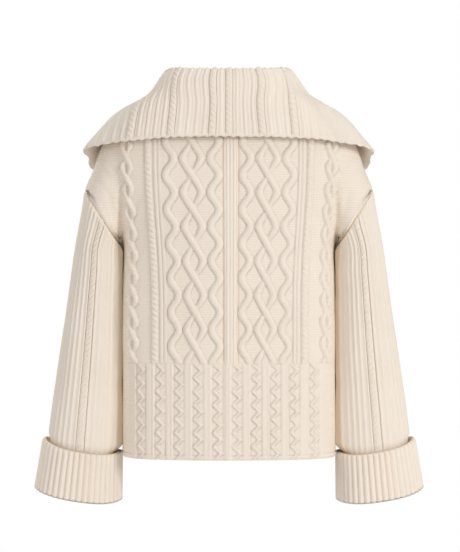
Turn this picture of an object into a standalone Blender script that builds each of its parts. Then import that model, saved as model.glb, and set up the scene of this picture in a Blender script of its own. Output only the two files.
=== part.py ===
"""Zip-neck sweater in thick cream wool: wide ribbed collar, drop shoulders, cables, turned-back cuffs.

It hangs as it is worn, filled out and hollow. The wearer faces -Y, +X is the wearer's left, and
z = 0 is the height where the shoulder line meets the neck. All sizes are in millimetres, and
they become metres when a mesh is made.
"""

import functools
import math
from collections import namedtuple

import bmesh
import bpy
import numpy as np

METRES = 0.001

# Driving sizes of the cut
GROUND = 3.0  # thickness of the knitted ground
SEAM_GAP = 0.4  # between two pieces, measured level
NECK_HALF_WIDTH = 88.0
NECK_DROP_BACK = 18.0
SLIT_TOP = (34.0, -90.0)  # where the zip slit meets the neck seam: x, z
SLIT_FOOT = (2.0, -165.0)
CORNER_Z = -162.0  # the shoulder seam ends here, at the top of the armhole
UNDERARM = (178.3, -252.0)  # x, z
BAND_TOP = -444.0  # the deep hem band starts here
HEM_Z = -598.0
SIDE_SEAM_Y = 0.2  # back and front stop this far from the plane y = 0
BACK_SHIFT = -3.0  # the back's pattern sits this far to the wearer's right

# Exponents of the rounded outlines: 2 is an ellipse, and more is squarer
TORSO_SQUARE = 2.8
ARM_SQUARE = 2.5
SECTION_SAMPLES = 260

Torso = namedtuple("Torso", "z half_width back front")
TORSO = (
    Torso(40, 215.0, 92, 84),
    Torso(-20, 212.0, 96, 96),
    Torso(-100, 205.0, 104, 112),
    Torso(-162, 195.0, 107, 120),
    Torso(-200, 186.0, 107, 121),
    Torso(-226, 180.5, 106, 120),
    Torso(-252, 174.5, 105, 119),
    Torso(-300, 174.5, 104, 117),
    Torso(-444, 174.5, 103, 113),
    Torso(-600, 174.5, 105, 114),
)
Arm = namedtuple("Arm", "z centre half_width half_depth")
ARM = (
    Arm(40, 150.0, 50.0, 64),
    Arm(-20, 153.0, 50.0, 66),
    Arm(-100, 168.0, 50.0, 69),
    Arm(-162, 186.0, 50.5, 69),
    Arm(-200, 200.5, 41.5, 69),
    Arm(-226, 207.5, 39.0, 68),
    Arm(-252, 214.8, 36.3, 67),
    Arm(-300, 218.8, 39.8, 66),
    Arm(-430, 228.8, 48.8, 62),
    Arm(-560, 239.8, 56.8, 59),
    Arm(-600, 243.0, 59.0, 58),
)
ShoulderPoint = namedtuple("ShoulderPoint", "x z")
SHOULDER_LINE = (
    ShoulderPoint(0, 24),
    ShoulderPoint(50, 14),
    ShoulderPoint(88, 0),
    ShoulderPoint(130, -16),
    ShoulderPoint(170, -43),
    ShoulderPoint(197, -70),
    ShoulderPoint(212, -98),
    ShoulderPoint(222, -128),
    ShoulderPoint(236.5, -162),
    ShoulderPoint(243.2, -200),
    ShoulderPoint(252, -252),
    ShoulderPoint(304, -600),
)
# How far in from the shoulder line the cloth takes to reach its full depth
Rounding = namedtuple("Rounding", "z reach")
ROUNDING = (
    Rounding(24, 66),
    Rounding(0, 66),
    Rounding(-60, 62),
    Rounding(-110, 56),
    Rounding(-162, 49.8),
)
NECK_ROUNDING = 44.0  # more reach at the centre back, under the collar
FOLD_SOFTNESS = 8.0  # how softly the body runs into the arm above the underarm

# The knitted pattern, as distances along the cloth from the centre line
PATTERN_TOP = -61.3  # hidden under the collar
CENTRE_BAND = (3.4, 10.3)  # a groove, then the band's edge
PANEL_CENTRE = 56.0
STRAND_HALF = 6.2
STRAND_HIGH = 4.4
TURN = 54.7  # from one meeting of the strands to the next
TOUCH_Z = -116.0
OUTER_STRAND = 32.5  # mean distance from the panel's centre
OUTER_SWING = 5.8
INNER_SWING = 13.0
ROWS_PER_TURN = 6
FINE_RIBS = (104.0, 110.5)
FINE_RIB_HALF = 2.6
FINE_RIB_HIGH = 1.8
ROPE = 121.3
ROPE_HALF = 6.3
ROPE_HIGH, ROPE_LOW = 3.8, 2.0
ROPE_TWIST = 9.0
PLAIT = 163.0
PLAIT_HALF = 11.0
PLAIT_HIGH = 3.8
PLAIT_TURN = 35.4
PLAIT_TOUCH_Z = -130.0
PLAIT_ROWS = 4
# The yoke is stretched sideways: where the pattern lies at the hem band and at the shoulder
STRETCH_LOW = (0.0, 100.0, 121.3, 163.0, 320.0)
STRETCH_HIGH = (0.0, 109.0, 131.5, 168.0, 320.0)
STRETCH_Z = (-350.0, -110.0)

ZIGZAG_CENTRES = (15.5, 46.5, 77.5, 108.5, 142.0)
ZIGZAG_SWING = 5.2
ZIGZAG_HALF = 3.0
ZIGZAG_HIGH = 3.0
ZIGZAGS_DOWN = 7
BAND_FLAT = 1.2
BAND_GROOVE = 10.5

SLEEVE_RIBS = 40
SLEEVE_RIB_HIGH = 2.0
SLEEVE_EDGE_HIGH = 1.2  # where the sleeve is sewn on
SLEEVE_ROPE_TWIST = 11.5
SLEEVE_ROPE_RIB = 10  # the rope runs where this rib would be, at the middle of the back
Tilted = namedtuple("Tilted", "z lift sag")
CUFF_TOP = Tilted(-580.0, 11.0, 9.0)
CUFF_FOLD = Tilted(-664.0, 11.0, 8.0)
CuffRing = namedtuple("CuffRing", "down centre half_width half_depth")
CUFF = (
    CuffRing(0, 241.0, 62.8, 65),
    CuffRing(84, 248.5, 69.5, 69),
)
CUFF_RIB_HIGH = 2.2
CUFF_FOLD_ROUND = 6.0

COLLAR_THICK = 4.0
COLLAR_SEAT = 1.2  # the sewn edge sits this far above the neck edge
COLLAR_RIB_HIGH = 2.8
COLLAR_RIBS_HALF = 30
COLLAR_ROPES = (-8, -4, 0, 2, 7, 12)  # counted in ribs from the centre back
COLLAR_BUMPS = 25  # rows of bumps down a rope


# ---------------------------------------------------------------- tables and curves


def curve(knots, values, at):
    """A smooth curve through the table's points, flat beyond its ends."""
    knots = np.asarray(knots, float)
    values = np.asarray(values, float)
    at = np.clip(np.asarray(at, float), knots[0], knots[-1])
    slopes = np.gradient(values, knots, axis=0)
    i = np.clip(np.searchsorted(knots, at) - 1, 0, len(knots) - 2)
    step = knots[i + 1] - knots[i]
    t = (at - knots[i]) / step
    if values.ndim > 1:
        step, t = step[..., None], t[..., None]
    return (
        (1 + 2 * t) * (1 - t) ** 2 * values[i]
        + t * (1 - t) ** 2 * step * slopes[i]
        + t**2 * (3 - 2 * t) * values[i + 1]
        + t**2 * (t - 1) * step * slopes[i + 1]
    )


def level(table, column, z):
    """One column of a table whose rows go down from the shoulder, read at height z."""
    return curve([-row.z for row in table], [getattr(row, column) for row in table], -z)


def shoulder_outline():
    places = np.array(SHOULDER_LINE, float)
    along = np.concatenate([[0], np.cumsum(np.hypot(*np.diff(places, axis=0).T))])
    return curve(along, places, np.linspace(0, along[-1], 90))


SHOULDER = shoulder_outline()


def rounded(t, square):
    """A quarter outline: 0 at t = 0, and 1 from t = 1 on."""
    return (1 - (1 - np.clip(t, 0, 1)) ** square) ** (1 / square)


def smooth_step(t):
    t = np.clip(t, 0, 1)
    return t * t * (3 - 2 * t)


# ---------------------------------------------------------------- the body's form


def shoulder_x(z):
    """Where the shoulder line, or below it the arm's outer side, is at height z."""
    return np.interp(-z, -SHOULDER[:, 1], SHOULDER[:, 0])


def shoulder_distance(x, z):
    """How far (x, z) lies inside the shoulder line."""
    start, end = SHOULDER[:-1], SHOULDER[1:]
    run = end - start
    point = np.stack([x, np.full_like(x, z)], axis=-1)[:, None, :]
    t = np.clip(((point - start) * run).sum(-1) / (run * run).sum(-1), 0, 1)
    gap = np.linalg.norm(point - start - t[..., None] * run, axis=-1).min(axis=1)
    return np.where(x < shoulder_x(z), gap, -gap)


def armhole_x(z):
    """The armhole seam, seen from behind: a straight line from the corner to the underarm."""
    corner = shoulder_x(CORNER_Z)
    share = (z - UNDERARM[1]) / (CORNER_Z - UNDERARM[1])
    return UNDERARM[0] + share * (corner - UNDERARM[0])


def edge_x(z):
    """Where back and front end at height z."""
    if z >= CORNER_Z:
        return float(shoulder_x(z))
    if z > UNDERARM[1]:
        return float(armhole_x(z)) - SEAM_GAP / 2
    return float(level(TORSO, "half_width", z))


def depth(x, z, side):
    """How far the cloth stands behind (side 1) or before (side -1) the plane y = 0."""
    x = np.asarray(x, float)
    half_width = level(TORSO, "half_width", z)
    full = level(TORSO, "back" if side > 0 else "front", z)
    torso = full * rounded(1 - x / half_width, TORSO_SQUARE)
    if z <= UNDERARM[1]:
        return torso
    half = level(ARM, "half_width", z)
    inward = np.clip((level(ARM, "centre", z) - x) / half, 0, 1)
    arm = level(ARM, "half_depth", z) * rounded(1 - inward, ARM_SQUARE)
    soft = FOLD_SOFTNESS * np.clip((z - UNDERARM[1]) / 50, 0, 1)
    both = (torso + arm + np.sqrt((torso - arm) ** 2 + soft**2)) / 2
    reach = level(ROUNDING, "reach", z) if z > CORNER_Z else 0.986 * half
    reach = reach + NECK_ROUNDING * np.clip(1 - x / 100, 0, 1) ** 2
    return both * rounded(shoulder_distance(x, z) / reach, ARM_SQUARE)


@functools.lru_cache(maxsize=None)
def section(side, z):
    """The half outline of back or front at height z: distance along the cloth, x and y."""
    x = edge_x(z) * np.sin(np.linspace(0, math.pi / 2, SECTION_SAMPLES))
    y = depth(x, z, side)
    if z >= CORNER_Z:
        y[-1] = 0
    along = np.concatenate([[0], np.cumsum(np.hypot(np.diff(x), np.diff(y)))])
    return along, x, y


def cloth_width(side, z):
    """The distance along the cloth from the centre line to its outer edge."""
    return section(side, round(float(z), 2))[0][-1]


def on_cloth(side, w, z):
    """The point w along the cloth from the centre line, at height z. w < 0 is the wearer's right."""
    along, x, y = section(side, round(float(z), 2))
    distance = min(abs(w), along[-1])
    across = math.copysign(np.interp(distance, along, x), w)
    return np.array([across, side * np.interp(distance, along, y), z])


def outward(side, w, z):
    """The cloth's outward direction there."""
    step = 1.2
    width = cloth_width(side, z)
    w = max(-width, min(width, w))
    across = on_cloth(side, min(w + step, width), z) - on_cloth(side, max(w - step, -width), z)
    up = on_cloth(side, w, z + step) - on_cloth(side, w, z - step)
    normal = np.cross(up, across) * side
    return normal / np.linalg.norm(normal)


def stretched(w, z):
    """Where the pattern line that lies w from the centre at the hem band lies at height z."""
    share = smooth_step((z - STRETCH_Z[0]) / (STRETCH_Z[1] - STRETCH_Z[0]))
    return w + share * (np.interp(w, STRETCH_LOW, STRETCH_HIGH) - w)


def neck_z(x, side):
    """The top edge of back or front near the neck."""
    if side > 0:
        return -NECK_DROP_BACK * (1 - min(x / NECK_HALF_WIDTH, 1) ** 2)
    if x < SLIT_TOP[0]:
        share = (x - SLIT_FOOT[0]) / (SLIT_TOP[0] - SLIT_FOOT[0])
        return SLIT_FOOT[1] + max(share, 0) * (SLIT_TOP[1] - SLIT_FOOT[1])
    share = min((x - SLIT_TOP[0]) / (NECK_HALF_WIDTH - SLIT_TOP[0]), 1)
    return SLIT_TOP[1] * (1 - share) ** 1.3


def cloth_top(side, across):
    """The height where a pattern line ends, at the neck or at the shoulder line."""

    def inside(z):
        w = across(z)
        if w > cloth_width(side, z) + 1e-6:
            return False
        return z <= neck_z(abs(on_cloth(side, w, z)[0]), side)

    low, high = SLIT_FOOT[1] - 8, 2.0
    for _ in range(16):
        middle = (low + high) / 2
        low, high = (middle, high) if inside(middle) else (low, middle)
    return low


# ---------------------------------------------------------------- walls made of columns


class Wall:
    """A closed mesh, made of columns of points that are joined to their neighbours."""

    def __init__(self):
        self.points = []
        self.faces = []

    def run(self, points, places=None):
        """Adds points in order. places say how far along each one is, 0 to 1 by default."""
        points = np.asarray(points, float)
        first = len(self.points)
        self.points.extend(points)
        if places is None:
            steps = np.linalg.norm(np.diff(points, axis=0), axis=1)
            along = np.concatenate([[0], np.cumsum(steps)])
            places = along / along[-1]
        return [(place, first + i) for i, place in enumerate(places)]

    def again(self, vertices):
        """A run along points that are already in the wall."""
        points = np.array([self.points[i] for i in vertices])
        along = np.concatenate([[0], np.cumsum(np.linalg.norm(np.diff(points, axis=0), axis=1))])
        return list(zip(along / along[-1], vertices))

    def join(self, one, other):
        """Triangles between two runs, each step along the run whose next point comes first."""
        i = j = 0
        while i < len(one) - 1 or j < len(other) - 1:
            ahead = one[i + 1][0] if i < len(one) - 1 else math.inf
            across = other[j + 1][0] if j < len(other) - 1 else math.inf
            if ahead <= across:
                self.faces.append((one[i][1], one[i + 1][1], other[j][1]))
                i += 1
            else:
                self.faces.append((one[i][1], other[j + 1][1], other[j][1]))
                j += 1

    def sheet(self, outer, inner):
        """Two sheets of runs, and the edges between them all round."""
        for runs in (outer, inner):
            for one, other in zip(runs, runs[1:]):
                self.join(one, other)
        for edge in (0, -1):
            self.join(
                self.again([run[edge][1] for run in outer]),
                self.again([run[edge][1] for run in inner]),
            )
            self.join(
                self.again([vertex for _, vertex in outer[edge]]),
                self.again([vertex for _, vertex in inner[edge]]),
            )

    def tube(self, outer, inner):
        """Two tubes of runs, and the rims between them at both ends."""
        for runs in (outer, inner):
            for one, other in zip(runs, runs[1:] + runs[:1]):
                self.join(one, other)
        for end in (0, -1):
            rims = [[run[end][1] for run in runs + runs[:1]] for runs in (outer, inner)]
            self.join(self.again(rims[0]), self.again(rims[1]))

    def make(self, name, material):
        mesh = bpy.data.meshes.new(name)
        mesh.from_pydata(np.array(self.points) * METRES, [], self.faces)
        work = bmesh.new()
        work.from_mesh(mesh)
        bmesh.ops.recalc_face_normals(work, faces=work.faces)
        work.to_mesh(mesh)
        work.free()
        return placed(name, mesh, material)


def placed(name, mesh, material):
    mesh.materials.append(material)
    mesh.shade_smooth()
    mesh.set_sharp_from_angle(angle=math.radians(50))
    item = bpy.data.objects.new(name, mesh)
    bpy.context.scene.collection.objects.link(item)
    return item


# ---------------------------------------------------------------- the body's pattern

# across(z) is the distance along the cloth, height(z) the relief, rows the heights that it needs
Column = namedtuple("Column", "across height rows")


def plain_column(w, rows, high=0.0):
    return Column(lambda z: float(stretched(w, z)), lambda z: high, rows)


def pattern_rows(touch, turn, per_turn):
    """Evenly spaced heights from under the collar down to the hem band."""
    step = turn / per_turn
    count = math.floor((touch - BAND_TOP) / step)
    above = math.ceil((touch - PATTERN_TOP) / -step)
    return [touch - step * i for i in range(-above, count + 1) if touch - step * i > BAND_TOP + 1.5]


def turns(z, touch, turn):
    """How many turns below the first meeting height z is, held still above the pattern."""
    return (touch - min(z, PATTERN_TOP)) / turn


def shown(z):
    """The relief dies away above the pattern, where the collar hides the cloth."""
    return float(smooth_step((PATTERN_TOP + 12 - z) / 12))


def panel_columns(lean):
    """The wide cable: two strands that cross again and again, and a wavy one on each side."""
    rows = [PATTERN_TOP + 12, *pattern_rows(TOUCH_Z, TURN, ROWS_PER_TURN)]

    def outer_centre(z):
        return OUTER_STRAND - OUTER_SWING * math.cos(2 * math.pi * turns(z, TOUCH_Z, TURN))

    def inner_centre(z):
        return abs(INNER_SWING * math.cos(math.pi * turns(z, TOUCH_Z, TURN)))

    def inner_line(z, offset):
        """Feet and crest keep apart where the two strands cross."""
        least = {-1: 0.7, 0: 2.8, 1: 8.4}[offset]
        return max(inner_centre(z) + offset * STRAND_HALF, least)

    def inner_height(z, offset, hand):
        """hand is -1 for the strand nearer the centre line. The strand that crosses over is higher."""
        phase = turns(z, TOUCH_Z, TURN) % 1 - 0.5
        crossing = max(0.0, 1 - abs(phase) * 6)
        if offset == -1:
            return (STRAND_HIGH + 0.6) * crossing
        if offset == 1:
            return 0.0
        near = abs(phase) < 0.34
        over = (phase < 0) == (hand == lean)
        return STRAND_HIGH + 0.5 * near * (1 if over else -2) * (abs(phase) > 0.05)

    def column(place, height):
        return Column(
            lambda z: float(stretched(PANEL_CENTRE + place(z), z)),
            lambda z: height(z) * shown(z),
            rows,
        )

    def outer_column(hand, offset):
        return column(
            lambda z: hand * (outer_centre(z) + offset * STRAND_HALF),
            lambda z: STRAND_HIGH if offset == 0 else 0.0,
        )

    def inner_column(hand, offset):
        return column(
            lambda z: hand * inner_line(z, offset),
            lambda z: inner_height(z, offset, hand),
        )

    columns = [outer_column(-1, offset) for offset in (1, 0, -1)]
    columns += [inner_column(-1, offset) for offset in (1, 0, -1)]
    columns += [inner_column(1, offset) for offset in (-1, 0, 1)]
    columns += [outer_column(1, offset) for offset in (-1, 0, 1)]
    return columns


def plait_columns(lean):
    """Two strands that cross every turn, like a chain."""
    rows = [PATTERN_TOP + 12, *pattern_rows(PLAIT_TOUCH_Z, PLAIT_TURN, PLAIT_ROWS)]

    def spread(z):
        return abs(math.cos(math.pi * turns(z, PLAIT_TOUCH_Z, PLAIT_TURN)))

    def height(z, hand):
        phase = turns(z, PLAIT_TOUCH_Z, PLAIT_TURN) % 1 - 0.5
        under = (phase < 0) != (hand == lean) and 0.05 < abs(phase) < 0.4
        return PLAIT_HIGH * (0.6 if under else 1.0) * shown(z)

    def column(hand, foot):
        def across(z):
            place = hand * (PLAIT_HALF if foot else 1.4 + 4.6 * spread(z))
            return float(stretched(PLAIT + place, z))

        return Column(across, (lambda z: 0.0) if foot else (lambda z: height(z, hand)), rows)

    return [column(-1, True), column(-1, False), column(1, False), column(1, True)]


def rope_column(centre, lean):
    """One line of slanted bumps, high and low by turns."""
    step = ROPE_TWIST / 2
    count = int((PATTERN_TOP - BAND_TOP - 3) / step)
    rows = [PATTERN_TOP + 12, *(PATTERN_TOP - step * i for i in range(count))]

    def bump(z):
        return round((PATTERN_TOP - z) / step) % 2

    def across(z):
        return float(stretched(centre + lean * (1.2 if bump(z) else -1.2), z))

    return Column(across, lambda z: (ROPE_HIGH if bump(z) else ROPE_LOW) * shown(z), rows)


PLAIN_ROWS = (-60.0, -110.0, -160.0, -210.0, -260.0, -320.0, -380.0)
SIDE_ROWS = (-60.0, -100.0, -135.0, -165.0, -190.0, -212.0, -232.0, -246.0, -252.5, -300.0, -370.0)
ARMHOLE_ROWS = (-170.0, -180.0, -195.0, -212.0, -228.0, -240.0, -246.5)
SIDE_SEAM_ROWS = (-262.0, -300.0, -370.0, BAND_TOP)
EDGE_SLANT = 1.3  # the edge's inner corners lie this many wall thicknesses further in
SIDE_SHARES = (0.22, 0.38, 0.5, 0.6, 0.7, 0.8, 0.9)
INNER_SHARES = (0.3, 0.5, 0.7, 0.85)


def side_column(side, share, rows, start=PLAIT + PLAIT_HALF + 3):
    """A line between the pattern's outer edge (share 0) and the side seam or armhole (share 1)."""

    def across(z):
        near = float(stretched(start, z))
        return near + share * (cloth_width(side, min(z, CORNER_Z)) - near)

    return Column(across, lambda z: 0.0, rows)


def beside_slit(column, gap):
    """The column, kept this far from the edge of the zip slit. It lies flat where it is held off."""

    def edge(z):
        share = (z - SLIT_FOOT[1]) / (SLIT_TOP[1] - SLIT_FOOT[1])
        return gap + SLIT_FOOT[0] + min(max(share, 0), 1) * (SLIT_TOP[0] - SLIT_FOOT[0])

    def across(z):
        return max(column.across(z), edge(z))

    def height(z):
        return column.height(z) * float(smooth_step((column.across(z) - edge(z)) / 4))

    return Column(across, height, column.rows)


def half_columns(side, lean):
    """The columns of one half, from the centre line out."""
    groove, band_edge = CENTRE_BAND
    panel = panel_columns(lean)
    if side < 0:
        panel = [beside_slit(column, 1.5 + i) for i, column in enumerate(panel)]
    columns = [
        plain_column(groove, PLAIN_ROWS, 1.8),
        plain_column(band_edge - 0.5, PLAIN_ROWS, 1.4),
        plain_column(band_edge + 0.7, PLAIN_ROWS),
        *panel,
    ]
    for rib in FINE_RIBS:
        columns += [
            plain_column(rib - FINE_RIB_HALF, PLAIN_ROWS),
            plain_column(rib, PLAIN_ROWS, FINE_RIB_HIGH),
        ]
    columns += [
        plain_column(ROPE - ROPE_HALF, PLAIN_ROWS),
        rope_column(ROPE, lean),
        plain_column(ROPE + ROPE_HALF, PLAIN_ROWS),
        plain_column((ROPE + ROPE_HALF + PLAIT - PLAIT_HALF) / 2, PLAIN_ROWS),
        *plait_columns(lean),
    ]
    return columns + [side_column(side, share, SIDE_ROWS) for share in SIDE_SHARES]


def half_inner_columns(side):
    """The plain inside, in wide steps, with two more lines below the slit."""
    places = (24.0, 50.0, 78.0, 106.0, 134.0, 160.0)
    if side < 0:
        places = (*CENTRE_BAND, *places)
    columns = [plain_column(w, PLAIN_ROWS[1:]) for w in places]
    return columns + [side_column(side, share, SIDE_ROWS[1:]) for share in INNER_SHARES]


def edge_run(wall, side, hand, high):
    """The outer edge of back or front: down the armhole to the underarm, then the side seam."""
    y = side * SIDE_SEAM_Y
    corner = CORNER_Z + EDGE_SLANT * high
    underarm = UNDERARM[1] - EDGE_SLANT * high
    points = [np.array([armhole_x(corner) - SEAM_GAP / 2, y, corner])]
    for z in ARMHOLE_ROWS:
        width = cloth_width(side, z)
        point = on_cloth(side, width, z) + high * outward(side, width, z)
        points.append(np.array([armhole_x(z) - SEAM_GAP / 2, point[1], z]))
    points.append(np.array([armhole_x(underarm) - SEAM_GAP / 2, y, underarm]))
    for z in SIDE_SEAM_ROWS:
        points.append(np.array([edge_x(z) + high, y, z]))
    points = np.array(points) * (hand, 1, 1)
    return wall.run(points, -points[:, 2])


def column_run(wall, side, hand, column, bottom, high=None):
    """Adds one column of points to a wall."""
    top = cloth_top(side, column.across)
    rows = [top, *(z for z in column.rows if bottom + 1 < z < top - 1), bottom]
    shift = BACK_SHIFT if side > 0 else 0.0
    points = []
    for z in rows:
        w = hand * column.across(z)
        w += shift * max(0.0, 1 - abs(w) / 200)
        lift = column.height(z) if high is None else high
        # The relief stops at the top edge, and is low at the bottom, where the hem band starts.
        if high is None and z in (top, bottom):
            lift = min(lift, 0.0 if z == top else 1.0)
        point = on_cloth(side, w, z) + lift * outward(side, w, z)
        point[1] = side * max(side * point[1], SIDE_SEAM_Y)
        points.append(point)
    return wall.run(points, [-z for z in rows])


def body_panel(name, side, material):
    """Back or front, from the neck and shoulder line down to the hem band."""
    wall = Wall()
    outer, inner = [], []
    # The over-strands lean the same way on both halves, so the halves are not quite mirrored.
    for hand in (-1, 1):
        columns = half_columns(side, hand * side)
        runs = [column_run(wall, side, hand, column, BAND_TOP) for column in columns]
        runs.append(edge_run(wall, side, hand, 0.0))
        inside = [
            column_run(wall, side, hand, column, BAND_TOP, -GROUND)
            for column in half_inner_columns(side)
        ]
        inside.append(edge_run(wall, side, hand, -GROUND))
        outer = outer + runs if hand > 0 else runs[::-1]
        inner = inner + inside if hand > 0 else inside[::-1]
    wall.sheet(outer, inner)
    return wall.make(name, material)


# ---------------------------------------------------------------- the hem band


def zigzag_columns(centre, hand):
    """A zigzag line with a smooth flat rib beside it."""
    steps = 2 * ZIGZAGS_DOWN
    top = BAND_TOP - SEAM_GAP
    rows = [top + (HEM_Z - top) * i / steps for i in range(steps + 1)]

    def swing(z):
        at = (top - z) / (top - HEM_Z) * steps
        return ZIGZAG_SWING * (1 if round(at) % 2 else -1) * hand

    def line(offset, high):
        return Column(lambda z: centre + swing(z) + offset, lambda z: high, rows)

    return [
        line(-ZIGZAG_HALF, BAND_FLAT * 0.6),
        line(0.0, ZIGZAG_HIGH),
        line(ZIGZAG_HALF, BAND_FLAT * 0.6),
    ]


def band_columns(side, hand):
    """The hem band's columns in one half, from the centre line out."""
    rows = [HEM_Z + 8.0]
    columns = []
    for centre in ZIGZAG_CENTRES:
        lines = zigzag_columns(centre, hand)
        # The groove lies on the wearer's right of every zigzag.
        groove = centre - hand * BAND_GROOVE * side
        beside = [
            Column(lambda z, w=groove: w, lambda z: 0.0, rows),
            Column(lambda z, w=groove - 2.2: w, lambda z: BAND_FLAT, rows),
        ]
        columns += beside + lines if hand * side > 0 else lines + beside[::-1]
    edge = ZIGZAG_CENTRES[-1] + 14
    for share in (0.0, 0.3, 0.6, 1.0):
        columns.append(
            Column(
                lambda z, s=share: edge + s * (cloth_width(side, z) - edge),
                lambda z, s=share: BAND_FLAT * (s < 1),
                rows,
            )
        )
    return sorted(columns, key=lambda column: column.across(-500.0))


def band_run(wall, side, hand, column, high=None):
    top = BAND_TOP - SEAM_GAP
    rows = sorted({top, HEM_Z, *(z for z in column.rows if HEM_Z < z < top)}, reverse=True)
    points = []
    for z in rows:
        w = hand * column.across(z)
        lift = column.height(z) if high is None else high
        point = on_cloth(side, w, z) + lift * outward(side, w, z)
        point[1] = side * max(side * point[1], SIDE_SEAM_Y)
        points.append(point)
    return wall.run(points, [-z for z in rows])


def hem_band(name, side, material):
    wall = Wall()
    outer, inner = [], []
    for hand in (-1, 1):
        runs = [band_run(wall, side, hand, column) for column in band_columns(side, hand)]
        spread = [
            Column(lambda z, s=share: s * cloth_width(side, z), None, [])
            for share in (0.08, 0.25, 0.42, 0.56, 0.68, 0.79, 0.9, 1.0)
        ]
        inside = [band_run(wall, side, hand, column, -GROUND) for column in spread]
        outer = outer + runs if hand > 0 else runs[::-1]
        inner = inner + inside if hand > 0 else inside[::-1]
    wall.sheet(outer, inner)
    return wall.make(name, material)


# ---------------------------------------------------------------- sleeves and cuffs


def oval(angle):
    """The squared oval of an arm: its x and y for radii of 1."""
    c, s = math.cos(angle), math.sin(angle)
    power = 2 / ARM_SQUARE
    return math.copysign(abs(c) ** power, c), math.copysign(abs(s) ** power, s)


def rib_angles(count):
    """Angles round the oval that stand equally far apart at the sleeve's end."""
    fine = np.linspace(0, 2 * math.pi, 1441)
    end = ARM[-1]
    ring = np.array([oval(angle) for angle in fine]) * (end.half_width, end.half_depth)
    along = np.concatenate([[0], np.cumsum(np.hypot(*np.diff(ring, axis=0).T))])
    return np.interp(np.arange(count) / count * along[-1], along, fine)


def sleeve_point(angle, z, high):
    """A point of the left sleeve. Angle 0 is its outer side and a quarter turn its back."""
    c, s = oval(angle)
    half_width = level(ARM, "half_width", z)
    half_depth = level(ARM, "half_depth", z)
    power = ARM_SQUARE - 1
    normal = np.array([
        math.copysign(abs(c) ** power, c) / half_width,
        math.copysign(abs(s) ** power, s) / half_depth,
    ])
    normal /= np.linalg.norm(normal)
    x = level(ARM, "centre", z) + half_width * c + high * normal[0]
    return np.array([x, half_depth * s + high * normal[1], z])


def sleeve_top(angle, lift):
    """The height where the armhole seam cuts this line of the sleeve."""
    low, high = UNDERARM[1] - 8, CORNER_Z + 8
    for _ in range(20):
        z = (low + high) / 2
        outside = sleeve_point(angle, z, lift)[0] > armhole_x(z) + SEAM_GAP / 2
        low, high = (z, high) if outside else (low, z)
    return low


def tilted(rim, angle):
    """The height of a rim that is higher on the outer side and sags at back and front."""
    c, s = oval(angle)
    return rim.z + rim.lift * c - rim.sag * s * s


def sleeve(name, hand, material):
    wall = Wall()
    angles = rib_angles(2 * SLEEVE_RIBS)
    outer = []
    for i, angle in enumerate(angles):
        rope = i == 2 * SLEEVE_ROPE_RIB
        high = 0.0 if i % 2 else SLEEVE_RIB_HIGH
        edge_high = min(high, SLEEVE_EDGE_HIGH)
        top = sleeve_top(angle, edge_high)
        end = tilted(CUFF_TOP, angle) + SEAM_GAP
        if rope:
            step = SLEEVE_ROPE_TWIST / 2
            rows = [top, *(top - step * k for k in range(1, int((top - end) / step))), end]
        else:
            rows = [top, *(z for z in (-330.0, -460.0) if z < top), end]
        points = []
        for k, z in enumerate(rows):
            lift = high if not rope else (ROPE_HIGH if k % 2 else ROPE_LOW)
            if k in (0, len(rows) - 1):
                lift = edge_high
            points.append(sleeve_point(angle, z, lift) * (hand, 1, 1))
        outer.append(wall.run(points, [-z for z in rows]))
    inner = []
    for angle in angles[::3]:
        top, end = sleeve_top(angle, -GROUND), tilted(CUFF_TOP, angle) + SEAM_GAP
        rows = [top, -330.0, -460.0, end]
        points = [sleeve_point(angle, z, -GROUND) * (hand, 1, 1) for z in rows]
        inner.append(wall.run(points, [-z for z in rows]))
    wall.tube(outer, inner)
    return wall.make(name, material)


def cuff_point(angle, down, high):
    """A point of the left cuff's outer layer, down from its top edge."""
    c, s = oval(angle)
    share = down / CUFF[1].down
    centre, half_width, half_depth = (
        CUFF[0][i] + share * (CUFF[1][i] - CUFF[0][i]) for i in (1, 2, 3)
    )
    top, fold = tilted(CUFF_TOP, angle), tilted(CUFF_FOLD, angle)
    return np.array([
        centre + (half_width + high) * c,
        (half_depth + high) * s,
        top + share * (fold - top),
    ])


def cuff(name, hand, material):
    """The sleeve's ribbed end, folded outward and up: two layers that lie on each other."""
    wall = Wall()
    angles = rib_angles(2 * SLEEVE_RIBS)
    depth_down = CUFF[1].down
    outer = []
    for i, angle in enumerate(angles):
        high = 0.0 if i % 2 else CUFF_RIB_HIGH
        rows = ((0.0, high - 0.8), (depth_down - CUFF_FOLD_ROUND, high), (depth_down, high - 4.0))
        points = [cuff_point(angle, down, lift) * (hand, 1, 1) for down, lift in rows]
        outer.append(wall.run(points, [down for down, _ in rows]))
    inner = []
    for angle in angles[::3]:
        top, fold = tilted(CUFF_TOP, angle), tilted(CUFF_FOLD, angle)
        end = sleeve_point(angle, top, -GROUND)
        widened = cuff_point(angle, depth_down, -9.5)
        points = [end * (hand, 1, 1), np.array([widened[0], widened[1], fold]) * (hand, 1, 1)]
        inner.append(wall.run(points, [0.0, depth_down]))
    wall.tube(outer, inner)
    return wall.make(name, material)


# ---------------------------------------------------------------- the collar

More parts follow.
